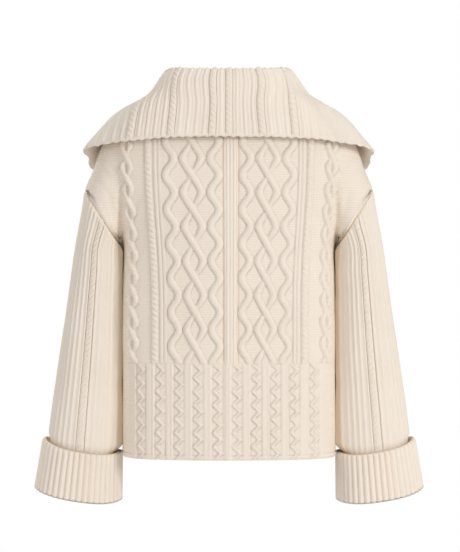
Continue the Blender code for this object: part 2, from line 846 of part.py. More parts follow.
# One row for each place round the neck, from the centre back to the zip: where the collar is
# sewn on, the crest of its fold, the middle and edge of its fall, and how far the fall sinks in
# between them
Station = namedtuple("Station", "place side seam_x crest middle edge roll sink")
COLLAR = (
    Station(0.00, 1, 0.0, (0, 86, 23.5), (0, 112, -26), (0, 124, -82), 1.0, 0.0),
    Station(0.16, 1, 40.0, (54, 82, 24.5), (72, 108, -26), (92, 120, -83), 1.0, 0.0),
    Station(0.32, 1, 70.0, (85, 61, 27), (128, 87, -28), (170, 97, -90), 1.0, 5.0),
    Station(0.48, 1, 86.0, (97, 18, 28), (178, 29, -41), (236, 36, -102), 1.0, 9.0),
    Station(0.55, -1, 86.5, (99, -8, 25), (180, -6, -41), (231, -8, -110), 1.0, 8.0),
    Station(0.62, -1, 83.0, (97, -34, 19), (176, -40, -43), (232, -52, -121), 0.9, 5.0),
    Station(0.73, -1, 74.0, (91, -78, 4), (148, -96, -64), (198, -98, -152), 0.8, 3.0),
    Station(0.85, -1, 58.0, (72, -112, -28), (120, -124, -96), (158, -124, -186), 0.6, 0.0),
    Station(1.00, -1, 34.0, (44, -124, -82), (80, -138, -142), (112, -142, -218), 0.4, 0.0),
)
COLLAR_ROWS = (0.0, 0.17, 0.24, 0.31, 0.45, 0.62, 1.0)
CREST_ROW = 0.24
SINK_ROW = 0.45
# The ribs stand equally far apart on the crest of the fold and fan out over the fall: which rib
# ends at which place of its edge
EDGE_RIBS = (0, 4, 8, 12, 17, 21, 30)
EDGE_PLACES = (0.0, 0.093, 0.187, 0.295, 0.45, 0.61, 1.0)


def collar_controls():
    """The points of every station: seam, into the fold, crest, out of it, sink, middle, edge."""
    rows = []
    plain = [row for row in COLLAR_ROWS if row != SINK_ROW]
    for station in COLLAR:
        z = neck_z(station.seam_x, station.side)
        y = station.side * float(depth(np.array([station.seam_x]), z, station.side)[0])
        seam = np.array([station.seam_x, y, z + COLLAR_SEAT])
        crest, edge = np.array(station.crest, float), np.array(station.edge, float)
        out = (edge - seam) * (1, 1, 0)
        out /= np.linalg.norm(out)
        into = crest + station.roll * (-7.0 * out + (0, 0, -12.0))
        off = crest + station.roll * (9.0 * out + (0, 0, -9.0))
        line = [seam, into, crest, off, np.array(station.middle, float), edge]
        sink = curve(plain, np.array(line), SINK_ROW) - 0.7 * station.sink * (out + (0, 0, 1))
        rows.append([*line[:4], sink, *line[4:]])
    return np.array(rows)


def collar_grid():
    """The controls for both halves, in order from the wearer's right front edge to the left."""
    half = collar_controls()
    places = [station.place for station in COLLAR]
    mirrored = half[:0:-1] * (-1, 1, 1)
    return [-p for p in places[:0:-1]] + places, np.concatenate([mirrored, half])


COLLAR_PLACES, COLLAR_POINTS = collar_grid()


def collar_base(place, down):
    """The collar's hidden side: place -1 to 1 round the neck, down 0 at the seam, 1 at the edge."""
    line = curve(COLLAR_PLACES, COLLAR_POINTS.reshape(len(COLLAR_PLACES), -1), place)
    return curve(COLLAR_ROWS, line.reshape(len(COLLAR_ROWS), 3), down)


def collar_point(place, down, high):
    step = 0.004
    low, top = max(down - step, 0), min(down + step, 1)
    left, right = max(place - step, -1), min(place + step, 1)
    along = collar_base(place, top) - collar_base(place, low)
    around = collar_base(right, down) - collar_base(left, down)
    normal = np.cross(around, along)
    return collar_base(place, down) + high * normal / np.linalg.norm(normal)


def crest_places():
    """Places of the ribs on the crest of the fold, equally far apart, two for every rib."""
    fine = np.linspace(0, 1, 201)
    crest = np.array([collar_base(place, CREST_ROW) for place in fine])
    along = np.concatenate([[0], np.cumsum(np.linalg.norm(np.diff(crest, axis=0), axis=1))])
    return np.interp(np.arange(2 * COLLAR_RIBS_HALF + 1) / (2 * COLLAR_RIBS_HALF) * along[-1], along, fine)


def rib_line(crest_place, rib, down):
    """Where a rib runs: straight down inside the fold, and then fanned out over the fall."""
    edge_place = math.copysign(curve(EDGE_RIBS, EDGE_PLACES, abs(rib)), rib)
    share = max(0.0, (down - CREST_ROW) / (1 - CREST_ROW)) ** 0.6
    return crest_place + share * (edge_place - crest_place)


def collar(name, material):
    wall = Wall()
    half = crest_places()
    crest = np.concatenate([-half[:0:-1], half])
    rows = (0.0, 0.17, 0.21, 0.25, 0.31, 0.45, 0.62, 0.82, 1.0)
    fall = np.linspace(0.31, 0.99, COLLAR_BUMPS)
    centre = len(half) - 1
    outer = []
    for i, place in enumerate(crest):
        count, valley = divmod(i - centre, 2)
        high = 0.0 if valley else COLLAR_RIB_HIGH
        downs = [(down, high) for down in rows]
        # A rope, and the groove on each side of it, has a row for every bump.
        if not valley and count in COLLAR_ROPES:
            bumps = [ROPE_HIGH if k % 2 else ROPE_LOW - 0.6 for k in range(len(fall))]
            downs = downs[:4] + list(zip(fall, bumps)) + [(1.0, 1.0)]
        elif valley and {count, count + 1} & set(COLLAR_ROPES):
            downs = downs[:4] + [(down, high) for down in fall] + downs[-1:]
        points = [
            collar_point(rib_line(place, (i - centre) / 2, down), down, COLLAR_THICK + lift)
            for down, lift in downs
        ]
        outer.append(wall.run(points, [down for down, _ in downs]))
    inner = []
    for place in np.linspace(-1, 1, 33):
        points = [collar_point(place, down, 0) for down in COLLAR_ROWS]
        inner.append(wall.run(points, COLLAR_ROWS))
    wall.sheet(outer, inner)
    return wall.make(name, material)


# ---------------------------------------------------------------- the zip

TAPE_WIDE = 9.0
TAPE_THICK = 1.2
TAPE_GAP = 0.6  # from the cloth's edge
TAPE_INSET = 1.5  # behind the outside of the front
SLIDER_Z = -161.0
SLIDER_OFF = 0.8  # the slider's back, out from the plain cloth
SLIDER = (9.0, 2.6, 12.0)
BRIDGE = (2.0, 5.0, 9.0)
BRIDGE_WINDOW = (2.8, 6.0)
PULL = (7.0, 1.5, 30.0)
PULL_WINDOW = (3.6, 7.0)
PULL_BAR = 1.5


def tape_edges():
    """Rows along the left tape: its sewn edge, its free edge, and the way its outside faces."""
    rows = []
    for share in np.linspace(0.14, 0.9, 5):
        z = SLIT_FOOT[1] + share * (SLIT_TOP[1] - SLIT_FOOT[1])
        x = SLIT_FOOT[0] + share * (SLIT_TOP[0] - SLIT_FOOT[0])
        free = max(0.6, x - TAPE_WIDE)
        y_sewn, y_free = (float(depth(np.array([at]), z, -1)[0]) - TAPE_INSET for at in (x, free))
        sewn = np.array([x - TAPE_GAP, -y_sewn, z])
        rows.append((sewn, np.array([free, -y_free, z]), outward(-1, 2.0, z)))
    for down in (0.1, 0.17, 0.21, 0.25, 0.31, 0.44, 0.62, 0.82, 0.985):
        edge = collar_point(1.0, down, COLLAR_THICK / 2)
        across = edge - collar_point(0.985, down, COLLAR_THICK / 2)
        across /= np.linalg.norm(across)
        facing = collar_point(1.0, down, 0.0) - collar_point(1.0, down, 1.0)
        rows.append((edge + 2.5 * TAPE_GAP * across, edge + TAPE_WIDE * across, facing))
    return rows


def zip_tape(name, hand, material):
    """A woven tape along the slit and up the collar's front edge."""
    wall = Wall()
    runs = [[], [], [], []]
    for sewn, free, facing in tape_edges():
        for run, point, lift in zip(runs, (sewn, free, free, sewn), (-0.5, -0.5, 0.5, 0.5)):
            run.append((point + lift * TAPE_THICK * facing) * (hand, 1, 1))
    runs = [wall.run(run, range(len(run))) for run in runs]
    for one, other in zip(runs, runs[1:] + runs[:1]):
        wall.join(one, other)
    for end in (0, -1):
        wall.faces.append(tuple(run[end][1] for run in runs))
    return wall.make(name, material)


def block(name, size, centre, material=None):
    mesh = bpy.data.meshes.new(name)
    work = bmesh.new()
    bmesh.ops.create_cube(work, size=1.0)
    bmesh.ops.scale(work, vec=[s * METRES for s in size], verts=work.verts)
    bmesh.ops.translate(work, vec=[c * METRES for c in centre], verts=work.verts)
    work.to_mesh(mesh)
    work.free()
    if material is None:
        material = bpy.data.materials.new(name)
    return placed(name, mesh, material)


def combine(item, other, operation):
    """Adds or cuts another block, which is then only a guide."""
    modifier = item.modifiers.new(other.name, "BOOLEAN")
    modifier.object = other
    modifier.operation = operation
    other.hide_render = True
    other.display_type = "WIRE"


def zip_slider(y, material):
    """The slider at the foot of the slit, with a bridge that the pull hangs from."""
    wide, deep, tall = SLIDER
    body = block("zip_slider", SLIDER, (0, y - deep / 2, SLIDER_Z), material)
    bridge_y = y - deep - BRIDGE[1] / 2 + 0.4
    bridge = block("slider_bridge", BRIDGE, (0, bridge_y, SLIDER_Z))
    window = (BRIDGE[0] * 2, *BRIDGE_WINDOW)
    window_y = y - deep - BRIDGE_WINDOW[0] / 2 - 0.05
    cutter = block("slider_window", window, (0, window_y, SLIDER_Z))
    combine(bridge, cutter, "DIFFERENCE")
    combine(body, bridge, "UNION")
    return window_y


def zip_pull(axis_y, axis_z, material):
    """A flat tab with a window at its top, hung by the bar above that window."""
    wide, deep, tall = PULL
    centre_z = axis_z + PULL_BAR / 2 - tall / 2
    pull = block("zip_pull", PULL, (0, axis_y, centre_z), material)
    window = (PULL_WINDOW[0], deep * 2, PULL_WINDOW[1])
    window_z = axis_z - PULL_BAR / 2 - PULL_WINDOW[1] / 2
    cutter = block("pull_window", window, (0, axis_y, window_z))
    combine(pull, cutter, "DIFFERENCE")
    return pull


# ---------------------------------------------------------------- materials and assembly


def finish(name, colour, roughness, metallic=0.0):
    material = bpy.data.materials.new(name)
    material.use_nodes = True
    shader = material.node_tree.nodes["Principled BSDF"]
    shader.inputs["Base Color"].default_value = (*colour, 1.0)
    shader.inputs["Roughness"].default_value = roughness
    shader.inputs["Metallic"].default_value = metallic
    return material


def build():
    for item in list(bpy.data.objects):
        bpy.data.objects.remove(item)
    wool = finish("cream wool", (0.86, 0.80, 0.70), 0.9)
    tape = finish("zip tape", (0.82, 0.76, 0.66), 0.8)
    metal = finish("zip metal", (0.72, 0.70, 0.66), 0.3, 1.0)
    body_panel("back", 1, wool)
    body_panel("front", -1, wool)
    hem_band("back_hem_band", 1, wool)
    hem_band("front_hem_band", -1, wool)
    for hand, name in ((1, "left"), (-1, "right")):
        sleeve(f"sleeve_{name}", hand, wool)
        cuff(f"cuff_{name}", hand, wool)
        zip_tape(f"zip_tape_{name}", hand, tape)
    collar("collar", wool)
    chest_y = -float(depth(np.array([0.0]), SLIDER_Z, -1)[0])
    axis_y = zip_slider(chest_y - SLIDER_OFF, metal)
    zip_pull(axis_y, SLIDER_Z - 1.0, metal)


build()
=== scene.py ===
"""Looks of a zip neck sweater in thick cream wool, with cables, ropes and a wide folded collar.

Every cloth piece is made again here as a fine closed shell on the same form as its solid. Lengths
are in millimetres until a mesh is made. The front faces -Y and the back +Y, where the camera is.
"""

import math
from collections import namedtuple

import bmesh
import bpy
import numpy as np
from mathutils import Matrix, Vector


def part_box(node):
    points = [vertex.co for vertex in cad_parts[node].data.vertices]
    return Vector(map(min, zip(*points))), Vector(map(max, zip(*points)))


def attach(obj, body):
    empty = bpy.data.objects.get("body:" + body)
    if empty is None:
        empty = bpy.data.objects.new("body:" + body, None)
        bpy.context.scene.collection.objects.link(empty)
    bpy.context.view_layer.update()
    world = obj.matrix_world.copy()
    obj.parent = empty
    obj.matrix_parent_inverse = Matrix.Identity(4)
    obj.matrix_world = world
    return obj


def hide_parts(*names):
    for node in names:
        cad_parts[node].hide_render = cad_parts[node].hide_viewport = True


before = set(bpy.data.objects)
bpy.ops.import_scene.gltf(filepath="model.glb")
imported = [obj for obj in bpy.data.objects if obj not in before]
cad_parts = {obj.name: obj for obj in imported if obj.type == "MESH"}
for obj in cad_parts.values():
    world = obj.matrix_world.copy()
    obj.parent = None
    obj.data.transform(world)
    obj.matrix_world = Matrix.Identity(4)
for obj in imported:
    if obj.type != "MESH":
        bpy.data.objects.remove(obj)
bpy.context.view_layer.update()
MM = 0.001


def table(columns, *rows):
    """Rows of values under named columns."""
    row = namedtuple("Row", columns)
    return [row(*values) for values in rows]


# ---------------------------------------------------------------- sizes of the cut

GROUND = 3.0  # thickness of the knitted ground
SEAM_GAP = 0.4
NECK_HALF_WIDTH = 88.0
NECK_DROP_BACK = 18.0
SLIT_TOP = (34.0, -90.0)
SLIT_FOOT = (2.0, -165.0)
CORNER_Z = -162.0
UNDERARM = (178.3, -252.0)
BAND_TOP = -444.0
HEM_Z = -598.0
SIDE_SEAM_Y = 0.2
BACK_SHIFT = -3.0
TORSO_SQUARE = 2.8
ARM_SQUARE = 2.5
SECTION_SAMPLES = 220

TORSO = table(
    "z half_width back front",
    (40, 215.0, 92, 84),
    (-20, 212.0, 96, 96),
    (-100, 205.0, 104, 112),
    (-162, 195.0, 107, 120),
    (-200, 186.0, 107, 121),
    (-226, 180.5, 106, 120),
    (-252, 174.5, 105, 119),
    (-300, 174.5, 104, 117),
    (-444, 174.5, 103, 113),
    (-600, 174.5, 105, 114),
)
ARM = table(
    "z centre half_width half_depth",
    (40, 150.0, 50.0, 64),
    (-20, 153.0, 50.0, 66),
    (-100, 168.0, 50.0, 69),
    (-162, 186.0, 50.5, 69),
    (-200, 200.5, 41.5, 69),
    (-226, 207.5, 39.0, 68),
    (-252, 214.8, 36.3, 67),
    (-300, 218.8, 39.8, 66),
    (-430, 228.8, 48.8, 62),
    (-560, 239.8, 56.8, 59),
    (-600, 243.0, 59.0, 58),
)
SHOULDER_LINE = table(
    "x z",
    (0, 24),
    (50, 14),
    (88, 0),
    (130, -16),
    (170, -43),
    (197, -70),
    (212, -98),
    (222, -128),
    (236.5, -162),
    (243.2, -200),
    (252, -252),
    (304, -600),
)
ROUNDING = table(
    "z reach",
    (24, 66),
    (0, 66),
    (-60, 62),
    (-110, 56),
    (-162, 49.8),
)
NECK_ROUNDING = 44.0
FOLD_SOFTNESS = 8.0

# The knitted pattern, as distances along the cloth from the centre line
PATTERN_TOP = -61.3
CENTRE_HALF = 10.3
PANEL_CENTRE = 56.0
STRAND_HALF = 5.9
STRAND_HIGH = 4.3
TURN = 54.7
TOUCH_Z = -116.0
OUTER_STRAND = 32.5
OUTER_SWING = 6.2
INNER_SWING = 13.4
FINE_RIBS = (104.0, 110.5)
FINE_RIB_HALF = 2.9
ROPE = 121.3
ROPE_HALF = 6.6
ROPE_HIGH, ROPE_LOW = 4.4, 1.7
ROPE_TWIST = 9.0
PLAIT = 163.0
PLAIT_SWING = 8.4
PLAIT_STRAND = 5.9
PLAIT_HIGH = 5.0
PLAIT_TURN = 35.4
PLAIT_TOUCH_Z = -130.0
PATTERN_EDGE = 177.0  # outside this line the cloth is plain
SIDE_SPAN = 60.0  # the plain side counts as this much more, whatever its width
STRETCH_LOW = (0.0, 100.0, 121.3, 163.0, 320.0)
STRETCH_HIGH = (0.0, 109.0, 131.5, 168.0, 320.0)
STRETCH_Z = (-350.0, -110.0)

ZIGZAG_CENTRES = (15.5, 46.5, 77.5, 108.5, 142.0)
ZIGZAG_APART = 31.0
ZIGZAG_SHIFT = 3.2  # the zigzags sit this far to the viewer's left
ZIGZAG_SWING = 5.2
ZIGZAG_HALF = 2.9
ZIGZAG_HIGH = 2.6
ZIGZAGS_DOWN = 7

SLEEVE_RIBS = 40
SLEEVE_ROPE_RIB = 10
SLEEVE_ROPE_HALF = 6.9
SLEEVE_ROPE_TWIST = 9.4
SLEEVE_ROPE_SLANT = 0.5
SLEEVE_ROPE_BORDER = 7.6  # no ribs nearer than this to the middle of the rope
Tilted = namedtuple("Tilted", "z lift sag")
CUFF_TOP = Tilted(-580.0, 11.0, 9.0)
CUFF_FOLD = Tilted(-664.0, 11.0, 8.0)
CUFF = table(
    "down centre half_width half_depth",
    (0, 241.0, 62.8, 65),
    (84, 248.5, 69.5, 69),
)
CUFF_POCKET = 12.0  # depth of the gap behind the turned-back layer
CUFF_RIBS = 46
CUFF_RIB_HIGH = 2.9

COLLAR_THICK = 4.0
COLLAR_SEAT = 1.2
COLLAR_RIBS_HALF = 30
COLLAR_RIB_HIGH = 2.7
COLLAR_PITCH = 12.4  # usual distance between its ribs
COLLAR_ROPES = (-8, -4, 0, 2, 7, 12)  # ribs that are ropes
COLLAR_ROPE = (5.4, 9.2, 0.56)  # half width, twist and slant of each


# ---------------------------------------------------------------- curves of the form


def curve(knots, values, at):
    """A smooth curve through the table's points, flat beyond its ends."""
    knots = np.asarray(knots, float)
    values = np.asarray(values, float)
    at = np.clip(np.asarray(at, float), knots[0], knots[-1])
    slopes = np.gradient(values, knots, axis=0)
    i = np.clip(np.searchsorted(knots, at) - 1, 0, len(knots) - 2)
    step = knots[i + 1] - knots[i]
    t = (at - knots[i]) / step
    if values.ndim > 1:
        step, t = step[..., None], t[..., None]
    return (
        (1 + 2 * t) * (1 - t) ** 2 * values[i]
        + t * (1 - t) ** 2 * step * slopes[i]
        + t**2 * (3 - 2 * t) * values[i + 1]
        + t**2 * (t - 1) * step * slopes[i + 1]
    )


def level(table, column, z):
    """One column of a table whose rows go down from the shoulder, read at height z."""
    return curve([-row.z for row in table], [getattr(row, column) for row in table], -np.asarray(z))


def path_length(points):
    """How far each point lies along its line of points from the line's first one."""
    steps = np.linalg.norm(np.diff(points, axis=0), axis=-1)
    return np.concatenate([np.zeros_like(steps[:1]), np.cumsum(steps, axis=0)])


def unit(vectors):
    return vectors / np.maximum(np.linalg.norm(vectors, axis=-1, keepdims=True), 1e-9)


def from_segment(x, z, start, end):
    """How far (x, z) lies from the line between two points, and at which share of it."""
    run = np.subtract(end, start)
    t = np.clip(((x - start[0]) * run[0] + (z - start[1]) * run[1]) / (run @ run), 0, 1)
    return np.hypot(x - start[0] - t * run[0], z - start[1] - t * run[1]), t


def shoulder_outline():
    places = np.array(SHOULDER_LINE, float)
    along = path_length(places)
    return curve(along, places, np.linspace(0, along[-1], 90))


SHOULDER = shoulder_outline()


def rounded(t, square):
    return (1 - (1 - np.clip(t, 0, 1)) ** square) ** (1 / square)


def ease(t):
    """From 0 to 1 as t does, gently at both ends."""
    t = np.clip(t, 0, 1)
    return t * t * (3 - 2 * t)


def bell(distance, width):
    return np.exp(-((distance / width) ** 2))


def shoulder_x(z):
    return np.interp(-np.asarray(z), -SHOULDER[:, 1], SHOULDER[:, 0])


def shoulder_distance(x, z):
    """How far (x, z) lies inside the shoulder line."""
    x, z = np.broadcast_arrays(x, z)
    nearest = np.full(x.shape, np.inf)
    for start, end in zip(SHOULDER[:-1], SHOULDER[1:]):
        nearest = np.minimum(nearest, from_segment(x, z, start, end)[0])
    return np.where(x < shoulder_x(z), nearest, -nearest)


def armhole_x(z):
    corner = float(shoulder_x(CORNER_Z))
    share = (np.asarray(z) - UNDERARM[1]) / (CORNER_Z - UNDERARM[1])
    return UNDERARM[0] + share * (corner - UNDERARM[0])


def edge_x(z):
    """Where back and front end at height z."""
    z = np.asarray(z, float)
    below = np.where(z > UNDERARM[1], armhole_x(z) - SEAM_GAP / 2, level(TORSO, "half_width", z))
    return np.where(z >= CORNER_Z, shoulder_x(z), below)


def depth(x, z, side):
    """How far the cloth stands behind (side 1) or before (side -1) the plane y = 0."""
    x, z = np.broadcast_arrays(np.asarray(x, float), np.asarray(z, float))
    full = level(TORSO, "back" if side > 0 else "front", z)
    torso = full * rounded(1 - x / level(TORSO, "half_width", z), TORSO_SQUARE)
    half = level(ARM, "half_width", z)
    inward = np.clip((level(ARM, "centre", z) - x) / half, 0, 1)
    arm = level(ARM, "half_depth", z) * rounded(1 - inward, ARM_SQUARE)
    soft = FOLD_SOFTNESS * np.clip((z - UNDERARM[1]) / 50, 0, 1)
    both = (torso + arm + np.sqrt((torso - arm) ** 2 + soft**2)) / 2
    reach = np.where(z > CORNER_Z, level(ROUNDING, "reach", z), 0.986 * half)
    reach = reach + NECK_ROUNDING * np.clip(1 - x / 100, 0, 1) ** 2
    shaped = both * rounded(shoulder_distance(x, z) / reach, ARM_SQUARE)
    return np.where(z <= UNDERARM[1], torso, shaped)


def neck_z(x, side):
    """The top edge of back or front near the neck."""
    if side > 0:
        return -NECK_DROP_BACK * (1 - np.minimum(x / NECK_HALF_WIDTH, 1) ** 2)
    up_slit = np.clip((x - SLIT_FOOT[0]) / (SLIT_TOP[0] - SLIT_FOOT[0]), 0, 1)
    slit = SLIT_FOOT[1] + up_slit * (SLIT_TOP[1] - SLIT_FOOT[1])
    share = np.clip((x - SLIT_TOP[0]) / (NECK_HALF_WIDTH - SLIT_TOP[0]), 0, 1)
    return np.where(x < SLIT_TOP[0], slit, SLIT_TOP[1] * (1 - share) ** 1.3)


def stretched(w, z):
    """The yoke is stretched sideways: where the pattern line w lies at height z."""
    share = ease((z - STRETCH_Z[0]) / (STRETCH_Z[1] - STRETCH_Z[0]))
    return w + share * (np.interp(w, STRETCH_LOW, STRETCH_HIGH) - w)


class Half:
    """One half of back or front as a table of level outlines."""

    def __init__(self, side):
        self.side = side
        marks = [HEM_Z, BAND_TOP, UNDERARM[1], CORNER_Z]
        at_corner = np.arange(CORNER_Z - 8, CORNER_Z, 0.4)
        self.z = np.unique(np.concatenate([np.arange(-600.0, 25.0, 2.0), at_corner, marks]))
        turn = np.sin(np.linspace(0, math.pi / 2, SECTION_SAMPLES))
        self.x = edge_x(self.z)[:, None] * turn
        self.y = depth(self.x, self.z[:, None], side)
        self.y[self.z >= CORNER_Z, -1] = 0
        self.along = path_length(np.stack([self.x.T, self.y.T], -1)).T

    def width(self, z):
        return np.interp(z, self.z, self.along[:, -1])

    def at(self, w, z):
        """x and y of the points w (0 or more) along the cloth, at heights z."""
        shape = np.broadcast(w, z).shape
        w, z = (value.ravel() for value in np.broadcast_arrays(w, z))
        row = np.clip(np.searchsorted(self.z, z, side="right") - 1, 0, len(self.z) - 2)
        share = (z - self.z[row]) / (self.z[row + 1] - self.z[row])
        order = np.argsort(row, kind="stable")
        bounds = np.searchsorted(row[order], np.arange(len(self.z)))
        x, y = np.empty(len(w)), np.empty(len(w))
        for i in np.unique(row):
            pick = order[bounds[i] : bounds[i + 1]]
            t, here = share[pick], w[pick]
            for target, outlines in ((x, self.x), (y, self.y)):
                low = np.interp(here, self.along[i], outlines[i])
                high = np.interp(here, self.along[i + 1], outlines[i + 1])
                target[pick] = low + t * (high - low)
        return x.reshape(shape), y.reshape(shape)


HALVES = {side: Half(side) for side in (1, -1)}


def line_width(side, c, z):
    """How far from the centre the pattern line c (0 or more) lies at height z."""
    near = stretched(np.minimum(c, PATTERN_EDGE), z)
    share = np.clip((c - PATTERN_EDGE) / SIDE_SPAN, 0, 1)
    # The edge turns sharply where the armhole meets the shoulder; lines further in turn gently.
    edge = HALVES[side].width(np.minimum(z, CORNER_Z))
    steps = range(-12, 13, 2)
    gentle = sum(HALVES[side].width(np.minimum(z + step, CORNER_Z)) for step in steps) / len(steps)
    return near + share * (gentle - near) + share**5 * (edge - gentle)


def highest(count, low, high, rounds, holds):
    """The greatest heights between low and high where holds is true, found by halving."""
    low, high = np.full(count, low), np.full(count, high)
    for _ in range(rounds):
        middle = (low + high) / 2
        true = holds(middle)
        low, high = np.where(true, middle, low), np.where(true, high, middle)
    return low


def line_top(side, c):
    """The height where each pattern line ends, at the neck or at the shoulder line."""

    def inside(z):
        w = line_width(side, c, z)
        x, _ = HALVES[side].at(w, z)
        return (w <= HALVES[side].width(z) + 1e-6) & (z <= neck_z(x, side))

    return highest(len(c), SLIT_FOOT[1] - 8.0, 2.0, 18, inside)


# ---------------------------------------------------------------- relief of the knit


class Relief:
    """Heights of the pattern on a grid of points.

    beside is how far each point lies from the middle of its own strand, so that the stitches
    follow the strand, and purl is 1 where the knit shows its bumpy side.
    """

    def __init__(self, across):
        self.high = np.zeros(across.shape)
        self.beside = across.copy()
        self.purl = np.ones(across.shape)

    def press(self, dip):
        self.high = np.where(self.high > 0, self.high, np.minimum(self.high, -dip))

    def lay(self, high, beside, purl=0.0):
        over = high > self.high
        self.high = np.where(over, high, self.high)
        self.beside = np.where(over, beside, self.beside)
        self.purl = np.where(over, purl, self.purl)


HIDDEN = -9.0
GROOVE = 0.55


def cord_top(u, sharp=2.2, power=0.7):
    """Rounded top of a strand, from 1 over its middle to 0 at its edge, u = 1."""
    return np.where(np.abs(u) < 1, (1 - np.clip(np.abs(u), 0, 1) ** sharp) ** power, HIDDEN)


def lay_strand(relief, offset, half, high, slope=0.0):
    """A strand offset mm from each point. slope is how far it moves sideways for each mm down."""
    u = offset / half / np.sqrt(1 + slope**2)
    relief.lay(np.where(np.abs(u) < 1, high * cord_top(u), HIDDEN), offset)


def press_beside(relief, offset, half, slope=0.0, groove=GROOVE):
    u = np.abs(offset) / half / np.sqrt(1 + slope**2)
    relief.press(groove * bell(u - 1.06, 0.16) - 0.02)


def wave(z, touch, turn):
    return (touch - np.minimum(z, PATTERN_TOP)) / turn


Crossing = namedtuple("Crossing", "touch turn swing half high")


def lay_crossing(relief, q, z, lean, c):
    """Two strands that cross once every turn. The one that leans with lean passes over."""
    t = wave(z, c.touch, c.turn)
    f = t - np.floor(t)
    bend = np.arcsin(0.96 * np.cos(math.pi * f)) / math.asin(0.96)
    centre = lean * c.swing * bend
    slope = c.swing * 1.9 / c.turn * (0.25 + 0.75 * np.sin(math.pi * f))
    tucked = ease(1 - np.abs(f - 0.5) / 0.4)
    for middle, half in ((centre, c.half), (-centre, c.half * (1 - 0.5 * tucked))):
        press_beside(relief, q - middle, half, slope)
    lay_strand(relief, q + centre, c.half * (1 - 0.5 * tucked), c.high * (1 - 0.85 * tucked), slope)
    lay_strand(relief, q - centre, c.half, c.high * (1 + 0.12 * tucked), slope)


ROPE_SLANT = 0.42


def lay_rope(relief, q, z, lean, half=ROPE_HALF, twist=ROPE_TWIST, slant=ROPE_SLANT):
    """A line of slanted bumps, like a rope with two strands."""
    p = q / half
    phase = z / twist - lean * slant * p
    lobe = 1 - np.abs(2 * (phase - np.floor(phase)) - 1) ** 2.4
    high = (ROPE_LOW + (ROPE_HIGH - ROPE_LOW) * lobe) * np.clip(cord_top(p, 2.6, 0.6), 0, 1)
    press_beside(relief, q, half, groove=0.35)
    relief.lay(np.where(np.abs(p) < 1, high, HIDDEN), (phase - np.round(phase)) * twist * 0.6)


PANEL = Crossing(TOUCH_Z, TURN, INNER_SWING, STRAND_HALF, STRAND_HIGH)
CHAIN = Crossing(PLAIT_TOUCH_Z, PLAIT_TURN, PLAIT_SWING, PLAIT_STRAND, PLAIT_HIGH)


def lay_within(relief, near, q, z, lean, crossing):
    """Crossing strands, only where near is true."""
    cross = Relief(q)
    lay_crossing(cross, q, z, lean, crossing)
    relief.press(-np.minimum(cross.high, 0) * near)
    relief.lay(np.where(near & (cross.purl == 0), cross.high, HIDDEN), cross.beside)


def body_relief(side, c, w, z):
    """The cables of back or front. c is the signed pattern line, w the distance on the cloth."""
    relief = Relief(w)
    a = np.abs(c)
    lean = np.where(c < 0, -1.0, 1.0) * side
    # Broad cable: a wavy strand on each side of two that cross
    q = a - PANEL_CENTRE
    t = wave(z, TOUCH_Z, TURN)
    outer = OUTER_STRAND - OUTER_SWING * np.cos(2 * math.pi * t)
    slope = OUTER_SWING * 2 * math.pi / TURN * np.sin(2 * math.pi * t)
    for hand in (-1, 1):
        press_beside(relief, q - hand * outer, STRAND_HALF, slope)
    for rib in FINE_RIBS:
        press_beside(relief, a - rib, FINE_RIB_HALF, groove=0.25)
    press_beside(relief, a, CENTRE_HALF + 0.6, groove=1.1)
    for hand in (-1, 1):
        lay_strand(relief, q - hand * outer, STRAND_HALF, STRAND_HIGH, slope)
    lay_within(relief, np.abs(q) < OUTER_STRAND, q, z, lean, PANEL)
    # Fine ribs, the rope and the plait
    for rib in FINE_RIBS:
        lay_strand(relief, a - rib, FINE_RIB_HALF, 2.0)
    lay_rope(relief, a - ROPE, z, lean)
    q = a - PLAIT
    lay_within(relief, np.abs(q) < PLAIT_SWING + PLAIT_STRAND + 2, q, z, lean, CHAIN)
    # Centre band with fine wales
    wales = 1.5 + 0.75 * np.cos(2 * math.pi * a / 5.15)
    band = wales * (1 - np.clip(a / CENTRE_HALF, 0, 1) ** 9)
    relief.lay(np.where(a < CENTRE_HALF, band, HIDDEN), w)
    shown = ease((PATTERN_TOP + 12 - z) / 12)
    settled = 0.55 + 0.45 * ease((z - BAND_TOP) / 9)
    relief.high = relief.high * shown * settled
    return relief


def zigzag(t):
    """A zigzag from -1 to 1 with slightly rounded turns."""
    return np.arcsin(0.97 * np.sin(2 * math.pi * t)) / math.asin(0.97)


